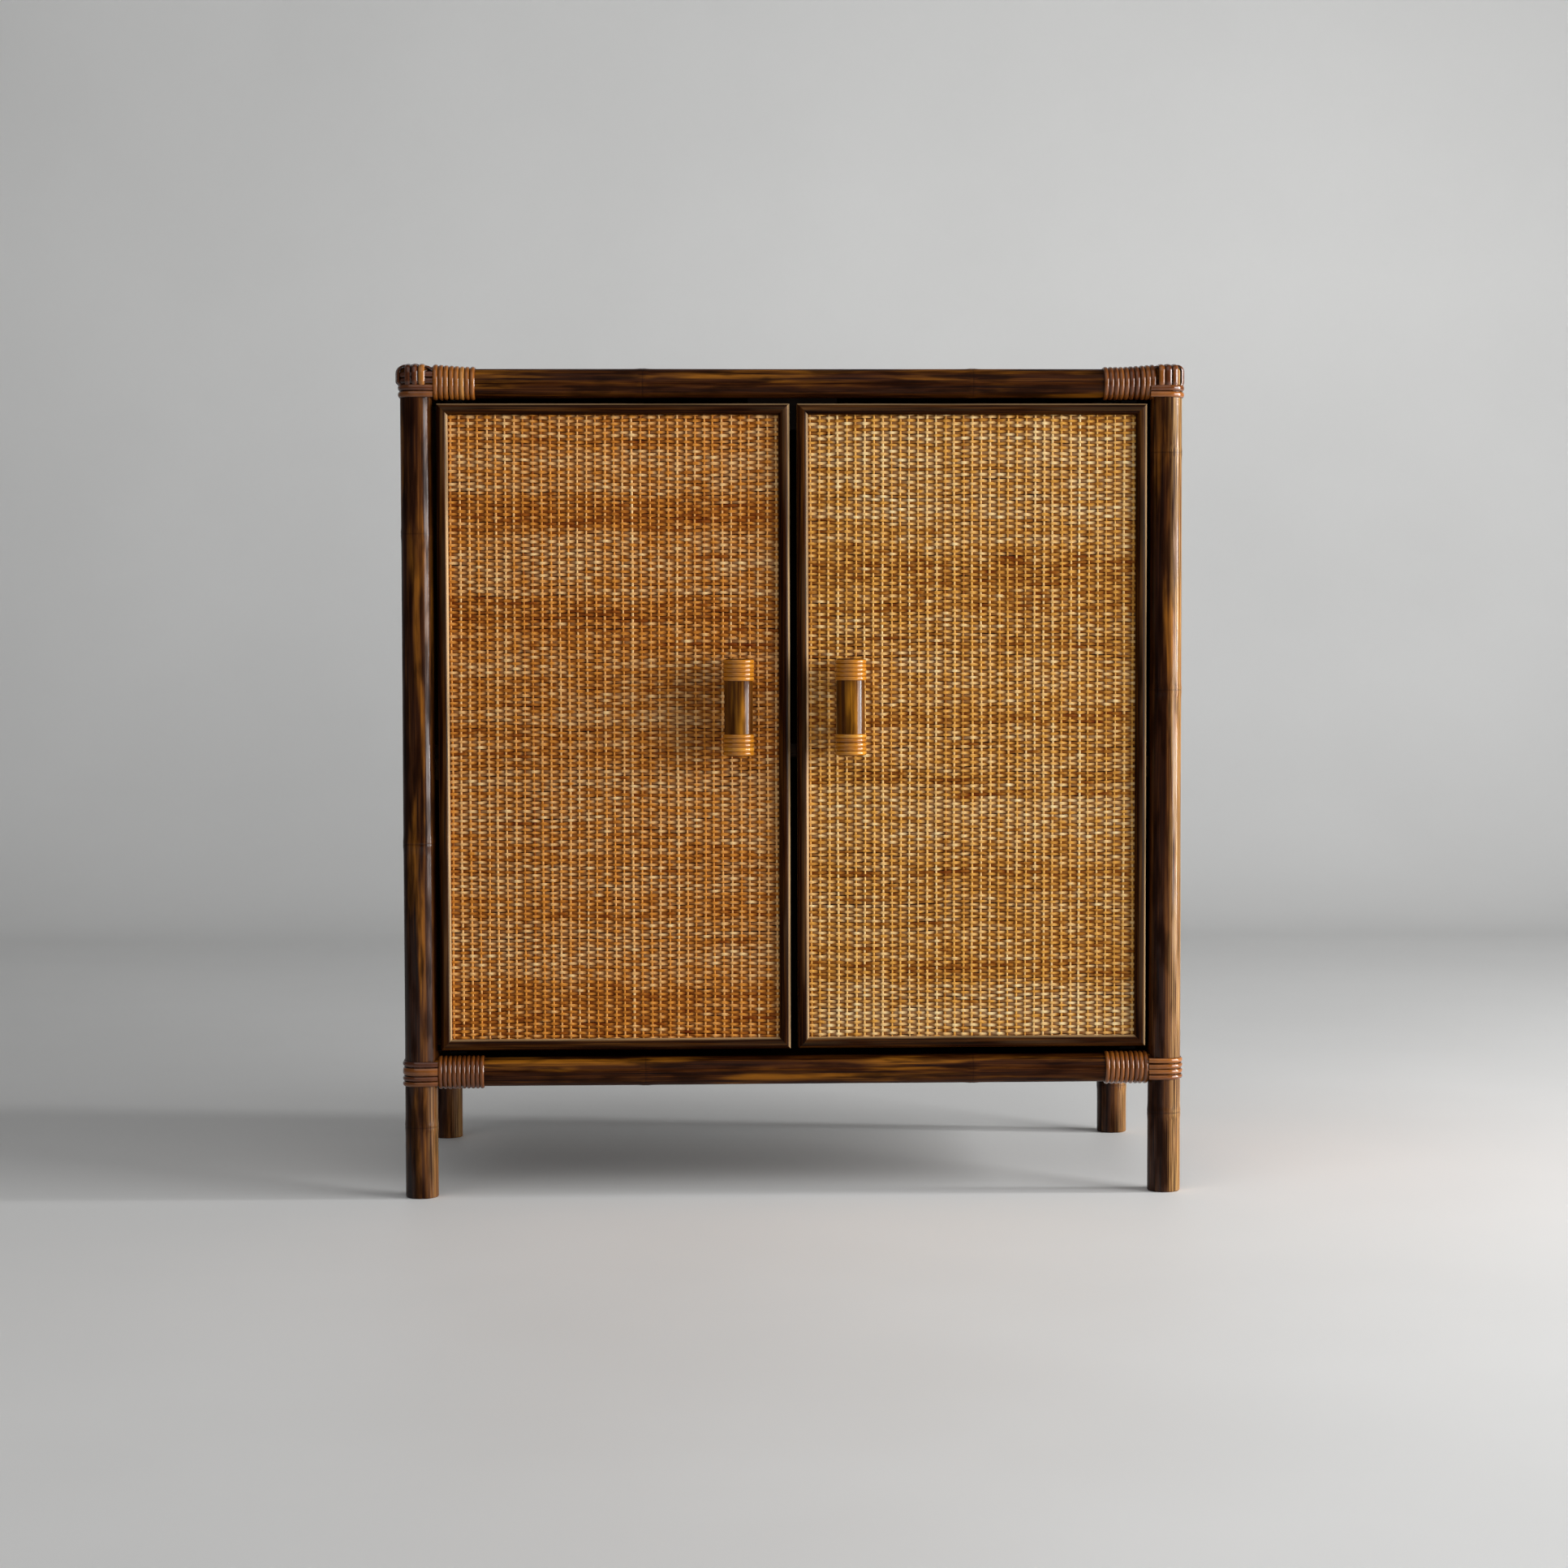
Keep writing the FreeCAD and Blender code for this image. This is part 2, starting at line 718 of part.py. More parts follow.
def spike_places(sign):
    """Places of the two spikes that hold a strike plate."""
    middle = Vec(sign * magnet_spacing / 2, core_back_y, magnet_z)
    return [middle + RIGHT * (way * strike_width * strike_spike_share) for way in SIDES.values()]


def door_core(sign):
    """Board of a door, bored for its bushes, handle screws and strike plate."""
    xs = (sign * door_inner_x, sign * door_outer_x)
    core = block(xs, (core_front_y, core_back_y), (door_bottom, door_top))
    axis = Vec(sign * pivot_x, pivot_y, 0)
    cuts = handle_holes(sign)
    for level in LEVELS:
        edge, inner = bush_line(level)
        cuts.append(rod(bush_radius + fit_gap, axis + UP * edge, axis + UP * inner))
    for place in spike_places(sign):
        depth = BACK * -(strike_spike_length + dowel_end_gap)
        cuts.append(rod(strike_spike_radius + fit_gap, place, place + depth))
    return core.cut(cuts)


def door_sheet(sign):
    """Woven sheet over the front of a door."""
    xs = (sign * door_inner_x, sign * door_outer_x)
    sheet = block(xs, (sheet_front_y, core_front_y), (door_bottom, door_top))
    return sheet.cut(handle_holes(sign))


def door_mouldings(sign):
    """Mitred half-round mouldings round the front of a door."""
    frame = moulding_frame(door_width, door_top - door_bottom).rotated(Vec(), RIGHT, 90)
    left_edge = min(sign * door_inner_x, sign * door_outer_x)
    return frame.translated(Vec(left_edge, sheet_front_y, door_bottom))


def handle_spacers(sign):
    """Pegs that hold the grip away from the woven sheet."""
    pegs = []
    for seat in handle_screw_seats(sign):
        start = Vec(seat.x, sheet_front_y, seat.z)
        end = start - BACK * (finger_gap + spacer_seat)
        pegs.append(rod(spacer_radius, start, end).cut(handle_holes(sign)))
    return Part.makeCompound(pegs)


def handle_grip(sign):
    """Short upright pole with rounded ends, bored for its pegs and screws."""
    foot = Vec(sign * handle_x, grip_y, handle_z - grip_length / 2)
    pole = rod(grip_radius, foot, foot + UP * grip_length)
    rims = [edge for edge in pole.Edges if edge.Closed]
    pole = pole.makeFillet(grip_end_round, rims)
    cuts = handle_holes(sign)
    for seat in handle_screw_seats(sign):
        start = Vec(seat.x, sheet_front_y, seat.z)
        cuts.append(rod(spacer_radius + fit_gap, start, start - BACK * (finger_gap + spacer_seat)))
    return pole.cut(cuts)


def handle_bindings(sign, strip):
    """The same winding at the lower and the upper end of a grip."""
    low = handle_z - grip_length / 2 + handle_binding_inset
    high = handle_z + grip_length / 2 - handle_binding_inset - handle_wound_length
    return Part.makeCompound([strip.translated(Vec(sign * handle_x, grip_y, z)) for z in (low, high)])


def handle_screws(sign):
    """Two screws from the back of a door into its grip."""
    seats = handle_screw_seats(sign)
    return Part.makeCompound([screw(seat, BACK * -1, handle_screw_length) for seat in seats])


def pivot_bushes(sign):
    """Sleeves in the upper and lower edge of a door, in which the pins turn."""
    axis = Vec(sign * pivot_x, pivot_y, 0)
    sleeves = []
    for level in LEVELS:
        edge, inner = bush_line(level)
        sleeve = rod(bush_radius, axis + UP * edge, axis + UP * inner)
        sleeves.append(sleeve.cut(rod(pin_radius + running_gap, axis + UP * edge, axis + UP * inner)))
    return Part.makeCompound(sleeves)


def strike_plate(sign):
    """Steel plate with two spikes on the back of a door, facing its magnet."""
    x = sign * magnet_spacing / 2
    xs = (x - strike_width / 2, x + strike_width / 2)
    zs = (magnet_z - strike_height / 2, magnet_z + strike_height / 2)
    plate = block(xs, (core_back_y, core_back_y + strike_thickness), zs)
    depth = BACK * strike_spike_length
    spikes = [rod(strike_spike_radius, place, place - depth) for place in spike_places(sign)]
    return plate.fuse(spikes).removeSplitter()


# Every node of the cabinet

def carcass_nodes():
    """Nodes of everything that stands still."""
    nodes = {"post_" + corner: post(corner) for corner in CORNERS}
    for level, z in LEVELS.items():
        for name in RAIL_ENDS:
            nodes[level + "_rail_" + name] = rail(name, z)
    nodes["rail_dowels"] = rail_dowels()
    for level, binding in (("top", top_binding()), ("bottom", bottom_binding())):
        for corner, (place, turn) in CORNERS.items():
            nodes["binding_" + level + "_" + corner] = binding.rotated(Vec(), UP, turn).translated(place)
    nodes["top_board"] = top_board()
    nodes["top_woven_sheet"] = top_sheet()
    nodes["bottom_board"] = level_board("bottom", floor_low, floor_top, rail_edge)
    nodes["back_board"] = back_board()
    nodes["shelf"] = shelf()
    nodes["shelf_cleats"] = shelf_cleats()
    nodes["cleat_screws"] = side_screws(cleat_screw_length)
    nodes["catch_block"] = catch_block()
    nodes["catch_magnets"] = Part.makeCompound([magnet(sign, magnet_radius) for sign in SIDES.values()])
    nodes["catch_screws"] = Part.makeCompound([screw(*fixing) for fixing in catch_fixings()])
    nodes["pivot_pins"] = pivot_pins()
    nodes["bracket_screws"] = side_screws(bracket_screw_length)
    for side, sign in SIDES.items():
        nodes["side_board_" + side] = side_board(sign)
        nodes["side_woven_sheet_" + side] = side_sheet(sign)
        nodes["side_mouldings_" + side] = side_mouldings(sign)
        nodes["pivot_brackets_" + side] = pivot_brackets(sign)
    return nodes


def door_nodes():
    """Nodes of the two doors."""
    strip = winding(grip_radius, handle_strip_gap, handle_strip_width, handle_strip_thickness,
                    handle_strip_pitch, handle_turns)
    nodes = {}
    for side, sign in SIDES.items():
        nodes["door_core_" + side] = door_core(sign)
        nodes["door_woven_sheet_" + side] = door_sheet(sign)
        nodes["door_mouldings_" + side] = door_mouldings(sign)
        nodes["handle_grip_" + side] = handle_grip(sign)
        nodes["handle_bindings_" + side] = handle_bindings(sign, strip)
        nodes["handle_spacers_" + side] = handle_spacers(sign)
        nodes["handle_screws_" + side] = handle_screws(sign)
        nodes["pivot_bushes_" + side] = pivot_bushes(sign)
        nodes["strike_plate_" + side] = strike_plate(sign)
    return nodes


os.makedirs("parts", exist_ok=True)
for node, shape in {**carcass_nodes(), **door_nodes()}.items():
    shape.exportStep(os.path.join("parts", node + ".step"))
    print(node, len(shape.Solids), "solids, volume", round(shape.Volume, 1))
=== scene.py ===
import math

import bpy
import numpy as np
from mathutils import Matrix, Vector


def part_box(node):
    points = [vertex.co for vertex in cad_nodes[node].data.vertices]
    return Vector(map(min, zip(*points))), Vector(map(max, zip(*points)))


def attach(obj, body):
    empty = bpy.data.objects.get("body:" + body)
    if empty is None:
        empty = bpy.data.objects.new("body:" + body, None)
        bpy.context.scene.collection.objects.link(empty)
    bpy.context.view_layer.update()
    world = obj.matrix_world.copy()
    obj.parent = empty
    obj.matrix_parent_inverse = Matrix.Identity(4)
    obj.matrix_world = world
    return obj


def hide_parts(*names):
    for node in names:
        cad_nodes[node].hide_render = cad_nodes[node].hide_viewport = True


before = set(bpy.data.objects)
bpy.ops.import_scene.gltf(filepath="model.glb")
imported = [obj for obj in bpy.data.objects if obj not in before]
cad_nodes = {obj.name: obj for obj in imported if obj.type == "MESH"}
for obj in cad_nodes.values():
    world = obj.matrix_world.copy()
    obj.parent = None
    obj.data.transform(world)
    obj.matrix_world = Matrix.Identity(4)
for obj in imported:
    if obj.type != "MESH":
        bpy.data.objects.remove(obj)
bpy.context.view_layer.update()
bpy.context.scene.view_settings.view_transform = "Standard"

# Posts
# Four peeled rattan poles, stained dark brown and varnished. They taper a little upwards, have slight
# growth rings, a softened foot edge and a rounded crown that fills the straps bound over it.
MM = 0.001
CORNERS = ("front_left", "front_right", "rear_right", "rear_left")
POLE_SIDES = 40
POLE_STEP = 6 * MM
POST_TOP_RADIUS = 14.2 * MM
POST_TOP_ROUND = 4.0 * MM
POST_CROWN = 1.3 * MM
POST_FOOT_ROUND = 1.4 * MM
POST_RINGS = {
    "front_left": (64 * MM, 319 * MM, 596 * MM),
    "front_right": (72 * MM, 455 * MM, 668 * MM),
    "rear_right": (48 * MM, 290 * MM, 560 * MM),
    "rear_left": (81 * MM, 366 * MM, 640 * MM),
}
RING_SWELL = 0.4 * MM
RING_SWELL_REACH = 5 * MM
RING_GROOVE = 0.14 * MM
RING_GROOVE_REACH = 0.9 * MM
RING_STEPS = 25
ROUND_STEPS = 7
POLE_UNEVEN = (0.007, 0.005)
POLE_TWIST = 18
POLE_TONE = 0.45
JOINT_SHADES = 0.04
WEAR_AND_LIGHT_TURN = 0.3
GRAIN_SHIFT = 5


def closed_tubes(points):
    """Faces of closed tubes, from points counted as (tube, ring, side): quads between neighbouring
    rings and a cap at both ends, turned so that the first tube encloses a positive volume."""
    tubes, rings, sides = points.shape[:3]
    index = np.arange(tubes * rings * sides).reshape(tubes, rings, sides)
    beside = np.roll(index, -1, axis=2)
    quads = np.stack([index[:, :-1], beside[:, :-1], beside[:, 1:], index[:, 1:]], axis=-1)
    caps = np.concatenate([index[:, 0, ::-1], index[:, -1]])
    flat = points.reshape(-1, 3) - points[0].reshape(-1, 3).mean(0)
    first = quads[0].reshape(-1, 4)
    ends = np.stack([index[0, 0, ::-1], index[0, -1]])
    fans = [np.stack([ends[:, 0], ends[:, k], ends[:, k + 1]], axis=1) for k in range(1, sides - 1)]
    triangles = np.concatenate([first[:, :3], first[:, [0, 2, 3]], *fans])
    corner_a, corner_b, corner_c = (flat[triangles[:, k]] for k in range(3))
    quads = quads.reshape(-1, 4)
    if (corner_a * np.cross(corner_b, corner_c)).sum() < 0:
        quads = quads[:, ::-1]
        caps = caps[:, ::-1]
    return quads, caps


def make_piece(name, skins, material, sharp_degrees=55):
    """One mesh object from groups of closed tubes. A skin is (points, grain, tone, crest): grain is
    the place in the strand's own axes with the third one lengthwise, tone is the strand's shade
    from 0 to 1, and crest is 0 in the hollows and 1 on the high places."""
    faces = []
    first = 0
    for skin in skins:
        quads, caps = closed_tubes(skin[0])
        faces += (quads + first).tolist() + (caps + first).tolist()
        first += skin[0].size // 3
    mesh = bpy.data.meshes.new(name)
    mesh.from_pydata(np.concatenate([skin[0].reshape(-1, 3) for skin in skins]), [], faces)
    grain = np.concatenate([skin[1].reshape(-1, 3) for skin in skins])
    mesh.attributes.new("grain", "FLOAT_VECTOR", "POINT").data.foreach_set("vector", grain.ravel())
    for number, label in ((2, "tone"), (3, "crest")):
        values = [np.broadcast_to(skin[number], skin[0].shape[:3]).ravel() for skin in skins]
        mesh.attributes.new(label, "FLOAT", "POINT").data.foreach_set("value", np.concatenate(values))
    mesh.materials.append(material)
    mesh.shade_smooth()
    mesh.set_sharp_from_angle(angle=math.radians(sharp_degrees))
    piece = bpy.data.objects.new(name, mesh)
    bpy.context.scene.collection.objects.link(piece)
    return piece


def shader_node(tree, kind, sockets=None, **settings):
    """Adds a node, sets its properties, then sets or links its inputs by name or number."""
    node = tree.nodes.new(kind)
    for name, value in settings.items():
        setattr(node, name, value)
    for key, value in (sockets or {}).items():
        if isinstance(value, bpy.types.NodeSocket):
            tree.links.new(value, node.inputs[key])
        else:
            node.inputs[key].default_value = value
    return node


def lengthwise_grain():
    """Shared group: three noise values from 0 to 1, drawn out along the vector's third axis. Fibre
    is fine, Streak about five times as broad, and Patch a long blotch over many streaks."""
    group = bpy.data.node_groups.new("lengthwise_grain", "ShaderNodeTree")
    for label, kind in (("Vector", "Vector"), ("Across", "Float"), ("Along", "Float")):
        group.interface.new_socket(name=label, in_out="INPUT", socket_type="NodeSocket" + kind)
    for label in ("Fibre", "Streak", "Patch"):
        group.interface.new_socket(name=label, in_out="OUTPUT", socket_type="NodeSocketFloat")
    source = shader_node(group, "NodeGroupInput")
    target = shader_node(group, "NodeGroupOutput")
    across = source.outputs["Across"]
    stretch = shader_node(group, "ShaderNodeCombineXYZ",
                          {0: across, 1: across, 2: source.outputs["Along"]})
    place = shader_node(group, "ShaderNodeVectorMath",
                        {0: source.outputs["Vector"], 1: stretch.outputs[0]}, operation="MULTIPLY")
    shares = {"Fibre": (1.0, 1.0, 1.0), "Streak": (0.2, 0.2, 0.6), "Patch": (0.04, 0.04, 0.5)}
    for label, share in shares.items():
        scaled = shader_node(group, "ShaderNodeVectorMath", {0: place.outputs[0], 1: share},
                             operation="MULTIPLY")
        noise = shader_node(group, "ShaderNodeTexNoise",
                            {"Vector": scaled.outputs[0], "Scale": 1.0, "Detail": 3.0})
        group.links.new(noise.outputs[0], target.inputs[label])
    return group


grain_group = lengthwise_grain()


def attribute(tree, label, output="Fac"):
    """Socket of one of the piece's own point values."""
    return shader_node(tree, "ShaderNodeAttribute", attribute_name=label).outputs[output]


def grain_in(tree, across, along, vector=None):
    """Places the grain group in a material, on the piece's own grain if no vector is given."""
    sockets = {"Vector": vector or attribute(tree, "grain", "Vector"), "Across": across, "Along": along}
    return shader_node(tree, "ShaderNodeGroup", sockets, node_tree=grain_group).outputs


def stretched(tree, value, low, high, start=0.0, end=1.0):
    """A value carried smoothly from one span to another."""
    sockets = {"Value": value, "From Min": low, "From Max": high, "To Min": start, "To Max": end}
    return shader_node(tree, "ShaderNodeMapRange", sockets, interpolation_type="SMOOTHSTEP").outputs[0]


def mixed(tree, share, first, second, blend="MIX"):
    """One colour mixed with another by a share."""
    return shader_node(tree, "ShaderNodeMix", {0: share, 6: first, 7: second},
                       data_type="RGBA", blend_type=blend).outputs[2]


def sum_of(tree, first, second, operation="ADD"):
    """Sum, or another plain operation, of two values."""
    return shader_node(tree, "ShaderNodeMath", {0: first, 1: second}, operation=operation).outputs[0]


def weighed(tree, *terms):
    """Sum of values, each taken times its own weight."""
    total, *others = (sum_of(tree, value, weight, "MULTIPLY") for value, weight in terms)
    for other in others:
        total = sum_of(tree, total, other)
    return total


def ramp(tree, value, stops):
    """Colour picked along stops of (place, colour)."""
    node = shader_node(tree, "ShaderNodeValToRGB", {0: value})
    while len(node.color_ramp.elements) < len(stops):
        node.color_ramp.elements.new(0.5)
    for element, (place, colour) in zip(node.color_ramp.elements, stops):
        element.position = place
        element.color = colour
    return node.outputs[0]


def bumped(tree, height, strength, depth):
    """Normal of a fine relief of that depth."""
    sockets = {"Height": height, "Strength": strength, "Distance": depth}
    return shader_node(tree, "ShaderNodeBump", sockets).outputs[0]


def new_material(name, **plain):
    """Material with its Principled shader, on which the plain values are set."""
    material = bpy.data.materials.new(name)
    material.use_nodes = True
    tree = material.node_tree
    shader = next(node for node in tree.nodes if node.type == "BSDF_PRINCIPLED")
    for label, value in plain.items():
        shader.inputs[label.replace("_", " ")].default_value = value
    return material, tree, shader


def feed(tree, shader, **sockets):
    """Links worked-out values to the shader's sockets."""
    for label, value in sockets.items():
        tree.links.new(value, shader.inputs[label.replace("_", " ")])


def pole_finish(name, dark, brown, pale, amber, pale_on_lit_side, amber_from, coat):
    """Varnished rattan: streaks from dark to pale along the pole, dark blotches, amber patches where
    the stain is thin, straw-coloured fibres where the tone is high, which on the posts' right sides is
    partly wear and partly painted light, darker grooves at the growth rings, and fine fibre ridges under
    a clear coat that wears thin on the blotches."""
    material, tree, shader = new_material(name, Specular_IOR_Level=0.06, Coat_Roughness=0.08)
    grain = grain_in(tree, across=1500.0, along=14.0)
    shade = weighed(tree, (grain["Fibre"], 0.45), (grain["Streak"], 0.55))
    tone = attribute(tree, "tone")
    toned = sum_of(tree, shade, stretched(tree, tone, 0.0, 1.0, -0.15, 0.15))
    colour = ramp(tree, toned, ((0.34, dark), (0.5, brown), (0.68, pale)))
    thin = stretched(tree, grain["Patch"], amber_from, amber_from + 0.16)
    streaky = stretched(tree, grain["Streak"], 0.32, 0.62)
    colour = mixed(tree, sum_of(tree, thin, streaky, "MULTIPLY"), colour, amber)
    spots = grain_in(tree, across=700.0, along=36.0)["Streak"]
    colour = mixed(tree, stretched(tree, spots, 0.34, 0.56, 0.3, 1.0), dark, colour)
    gleam = stretched(tree, spots, 0.36, 0.62, 0.3 * coat, 2.2 * coat)
    # Pale fibres where the tone is high: wear, and on the posts' right sides partly painted light.
    worn_and_lit = sum_of(tree, stretched(tree, tone, 0.6, 1.0),
                  stretched(tree, grain["Fibre"], 0.42, 0.62), "MULTIPLY")
    colour = mixed(tree, worn_and_lit, colour, pale_on_lit_side)
    groove = stretched(tree, attribute(tree, "crest"), -1.2, 0.95)
    colour = mixed(tree, groove, dark, colour)
    roughness = stretched(tree, grain["Streak"], 0.3, 0.7, 0.3, 0.48)
    normal = bumped(tree, shade, strength=0.5, depth=0.25 * MM)
    feed(tree, shader, Base_Color=colour, Roughness=roughness, Normal=normal, Coat_Weight=gleam)
    return material


def along_pole(length, growth_rings):
    """Ring places along a pole: even steps, closer together at the growth rings."""
    close = np.linspace(-2, 2, RING_STEPS) * RING_SWELL_REACH
    places = [np.linspace(0, length, round(length / POLE_STEP) + 1)]
    places += [ring + close for ring in growth_rings]
    places = np.concatenate(places)
    return np.unique(places[(places >= 0) & (places <= length)].round(5))


def ring_relief(along, growth_rings):
    """Swelling with a narrow groove in its middle at each growth ring, and 0 to 1 outside the grooves."""
    away = along[..., None] - np.array(growth_rings)
    swell = RING_SWELL * np.exp(-(away / RING_SWELL_REACH) ** 2).sum(-1)
    groove = np.exp(-(away / RING_GROOVE_REACH) ** 2).sum(-1)
    return swell - RING_GROOVE * groove, 1 - groove


def pole_skin(origin, direction, along, radius, growth_rings, worn_and_lit, seed):
    """Skin of a pole: a circle of the given radius carried along the axis, a little out of round
    by its second and third harmonic, with the relief of the growth rings added. Its tone changes a
    little from one growth ring to the next, and it gets paler towards its right side, where the light
    falls: partly wear, partly painted light."""
    draw = np.random.default_rng(seed)
    direction = np.array(direction, float)
    level = np.array([0, 0, 1.0]) if direction[2] == 0 else np.array([0, 1.0, 0])
    beside = np.cross(level, direction)
    turn = np.linspace(0, 2 * math.pi, POLE_SIDES, endpoint=False)
    phase = draw.uniform(0, 2 * math.pi, 2)
    relief, smooth = ring_relief(along, growth_rings)
    uneven = POLE_UNEVEN[0] * np.cos(2 * turn + phase[0])
    uneven = uneven + POLE_UNEVEN[1] * np.cos(3 * turn + phase[1] + POLE_TWIST * along)
    reach = radius * (1 + uneven) + relief
    flat = np.stack([reach * np.cos(turn), reach * np.sin(turn)], axis=-1)
    along = np.broadcast_to(along, reach.shape)
    points = np.array(origin) + along[..., None] * direction
    points = points + flat[..., :1] * beside + flat[..., 1:] * level
    grain = np.concatenate([flat, along[..., None]], axis=-1) + draw.uniform(0, GRAIN_SHIFT, 3)
    joint = np.searchsorted(np.sort(growth_rings), along)
    tone = POLE_TONE + draw.uniform(-JOINT_SHADES, JOINT_SHADES, len(growth_rings) + 1)[joint]
    # Paler towards the right side, where the light falls: partly wear, partly painted light.
    tone = tone + worn_and_lit * np.clip(np.cos(turn) + WEAR_AND_LIGHT_TURN, 0, 1)
    smooth = np.broadcast_to(smooth, reach.shape)
    return points[None], grain[None], tone, smooth[None]


def rounded_end(from_end, edge):
    """Loss of radius at a quarter-round edge, at a distance from the end."""
    room = np.clip(edge - from_end, 0, edge)
    return edge - np.sqrt(edge ** 2 - room ** 2)


stained_pole = pole_finish("stained_pole", (0.008, 0.0016, 0.0004, 1), (0.042, 0.0105, 0.0018, 1),
                           (0.15, 0.05, 0.008, 1), (0.29, 0.1, 0.009, 1), (0.42, 0.23, 0.078, 1),
                           amber_from=0.52, coat=0.2)
# How much each post gets paler towards its right side, where the light falls, and near the foot: partly
# wear, partly painted light.
POST_WEAR_AND_LIGHT = {"front_right": 0.6, "rear_right": 0.4, "front_left": 0.14, "rear_left": 0.14}
FOOT_WEAR = 0.36
FOOT_HEIGHT = 105 * MM
post_axis = {}
for number, corner in enumerate(CORNERS):
    low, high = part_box("post_" + corner)
    post_axis[corner] = np.array([(low.x + high.x) / 2, (low.y + high.y) / 2, 0])
    post_height = high.z
    post_foot_radius = (high.x - low.x) / 2
    bend = 1 - np.cos(np.linspace(0, math.pi / 2, ROUND_STEPS))
    crown = post_height + POST_CROWN
    places = np.concatenate([along_pole(crown, POST_RINGS[corner]), bend * POST_FOOT_ROUND,
                             crown - bend * POST_TOP_ROUND])
    places = np.unique(places.round(6))[:, None]
    radius = post_foot_radius + (POST_TOP_RADIUS - post_foot_radius) * places / post_height
    radius = radius - rounded_end(places, POST_FOOT_ROUND) - rounded_end(crown - places, POST_TOP_ROUND)
    worn_and_lit = np.where(places < FOOT_HEIGHT, max(POST_WEAR_AND_LIGHT[corner], FOOT_WEAR), POST_WEAR_AND_LIGHT[corner])
    skin = pole_skin(post_axis[corner], (0, 0, 1), places, radius, POST_RINGS[corner], worn_and_lit,
                     seed=20 + number)
    piece = make_piece("pole_post_" + corner, [skin], stained_pole)
    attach(piece, "carcass")
    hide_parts("post_" + corner)

# Rails
# Eight thinner rattan poles that join the posts in an upper and a lower ring. Their ends are hollowed
# to sit against the posts, and wooden dowels hold them there.
RAIL_ENDS = {
    "front": ("front_left", "front_right"),
    "rear": ("rear_left", "rear_right"),
    "left": ("front_left", "rear_left"),
    "right": ("front_right", "rear_right"),
}
RAIL_SEAT = 0.2 * MM
RAIL_BLEND = 10 * MM
RAIL_RING_SHARES = {"front": (0.3, 0.74), "rear": (0.22, 0.6), "left": (0.4,), "right": (0.63,)}
END_SHARES = (0.05, 0.5)


def post_radius_at(height):
    """Radius of the tapered posts at a height."""
    return post_foot_radius + (POST_TOP_RADIUS - post_foot_radius) * height / post_height


def rail_skin(first, last, height, rail_radius, growth_rings, seed):
    """Skin of a rail: its ring places are drawn back near the ends by the depth of the hollow, the
    root of post radius squared less sideways place squared, and two small rings close each end."""
    span = last - first
    length = np.linalg.norm(span)
    seat = post_radius_at(height) + RAIL_SEAT
    turn = np.linspace(0, 2 * math.pi, POLE_SIDES, endpoint=False)
    middle = seat + along_pole(length - 2 * seat, np.array(growth_rings) - seat)
    shares = np.concatenate([END_SHARES, np.ones(len(middle)), END_SHARES[::-1]])[:, None]
    ends = np.full(len(END_SHARES), seat)
    places = np.concatenate([ends, middle, length - ends])[:, None]
    hollow = seat - np.sqrt(seat ** 2 - (rail_radius * shares * np.cos(turn)) ** 2)
    near_start = np.clip(1 - (places - seat) / RAIL_BLEND, 0, 1)
    near_end = np.clip(1 - (length - seat - places) / RAIL_BLEND, 0, 1)
    along = places + hollow * (near_end - near_start)
    origin = first + np.array([0, 0, height])
    return pole_skin(origin, span / length, along, rail_radius * shares, growth_rings, 0, seed)


stained_rail = pole_finish("stained_rail", (0.007, 0.0014, 0.0003, 1), (0.05, 0.0125, 0.0016, 1),
                           (0.17, 0.056, 0.006, 1), (0.33, 0.115, 0.008, 1), (0.33, 0.19, 0.072, 1),
                           amber_from=0.5, coat=0.04)
rail_height = {}
RAILS = [(level, name) for level in ("top", "bottom") for name in RAIL_ENDS]
for number, (level, name) in enumerate(RAILS):
    node = level + "_rail_" + name
    low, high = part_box(node)
    rail_height[level] = (low.z + high.z) / 2
    rail_radius = (high.z - low.z) / 2
    first, last = (post_axis[corner] for corner in RAIL_ENDS[name])
    rings = [share * np.linalg.norm(last - first) for share in RAIL_RING_SHARES[name]]
    skin = rail_skin(first, last, rail_height[level], rail_radius, rings, seed=40 + number)
    piece = make_piece("pole_" + node, [skin], stained_rail)
    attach(piece, "carcass")
    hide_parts(node)

# Dowels, cleats and catch block
# Small plain wooden parts: turned dowels inside the joints, planed battens that carry the shelf, and
# the block under the top that holds the magnets. Glued or screwed in place and only lightly stained.


def turned_place(tree, turn):
    """Place on the object, turned so that the wood's grain runs along the third axis."""
    place = shader_node(tree, "ShaderNodeTexCoord").outputs["Object"]
    return shader_node(tree, "ShaderNodeMapping", {"Vector": place, "Rotation": turn}).outputs[0]


def plain_wood_finish(name, dark, pale, turn):
    """Planed wood: streaks from dark to pale along an axis that the turn brings upright."""
    material, tree, shader = new_material(name, Specular_IOR_Level=0.2)
    grain = grain_in(tree, across=700.0, along=16.0, vector=turned_place(tree, turn))
    shade = weighed(tree, (grain["Fibre"], 0.4), (grain["Streak"], 0.6))
    colour = ramp(tree, shade, ((0.3, dark), (0.7, pale)))
    roughness = stretched(tree, grain["Fibre"], 0.3, 0.7, 0.5, 0.68)
    normal = bumped(tree, shade, strength=0.4, depth=0.2 * MM)
    feed(tree, shader, Base_Color=colour, Roughness=roughness, Normal=normal)
    return material


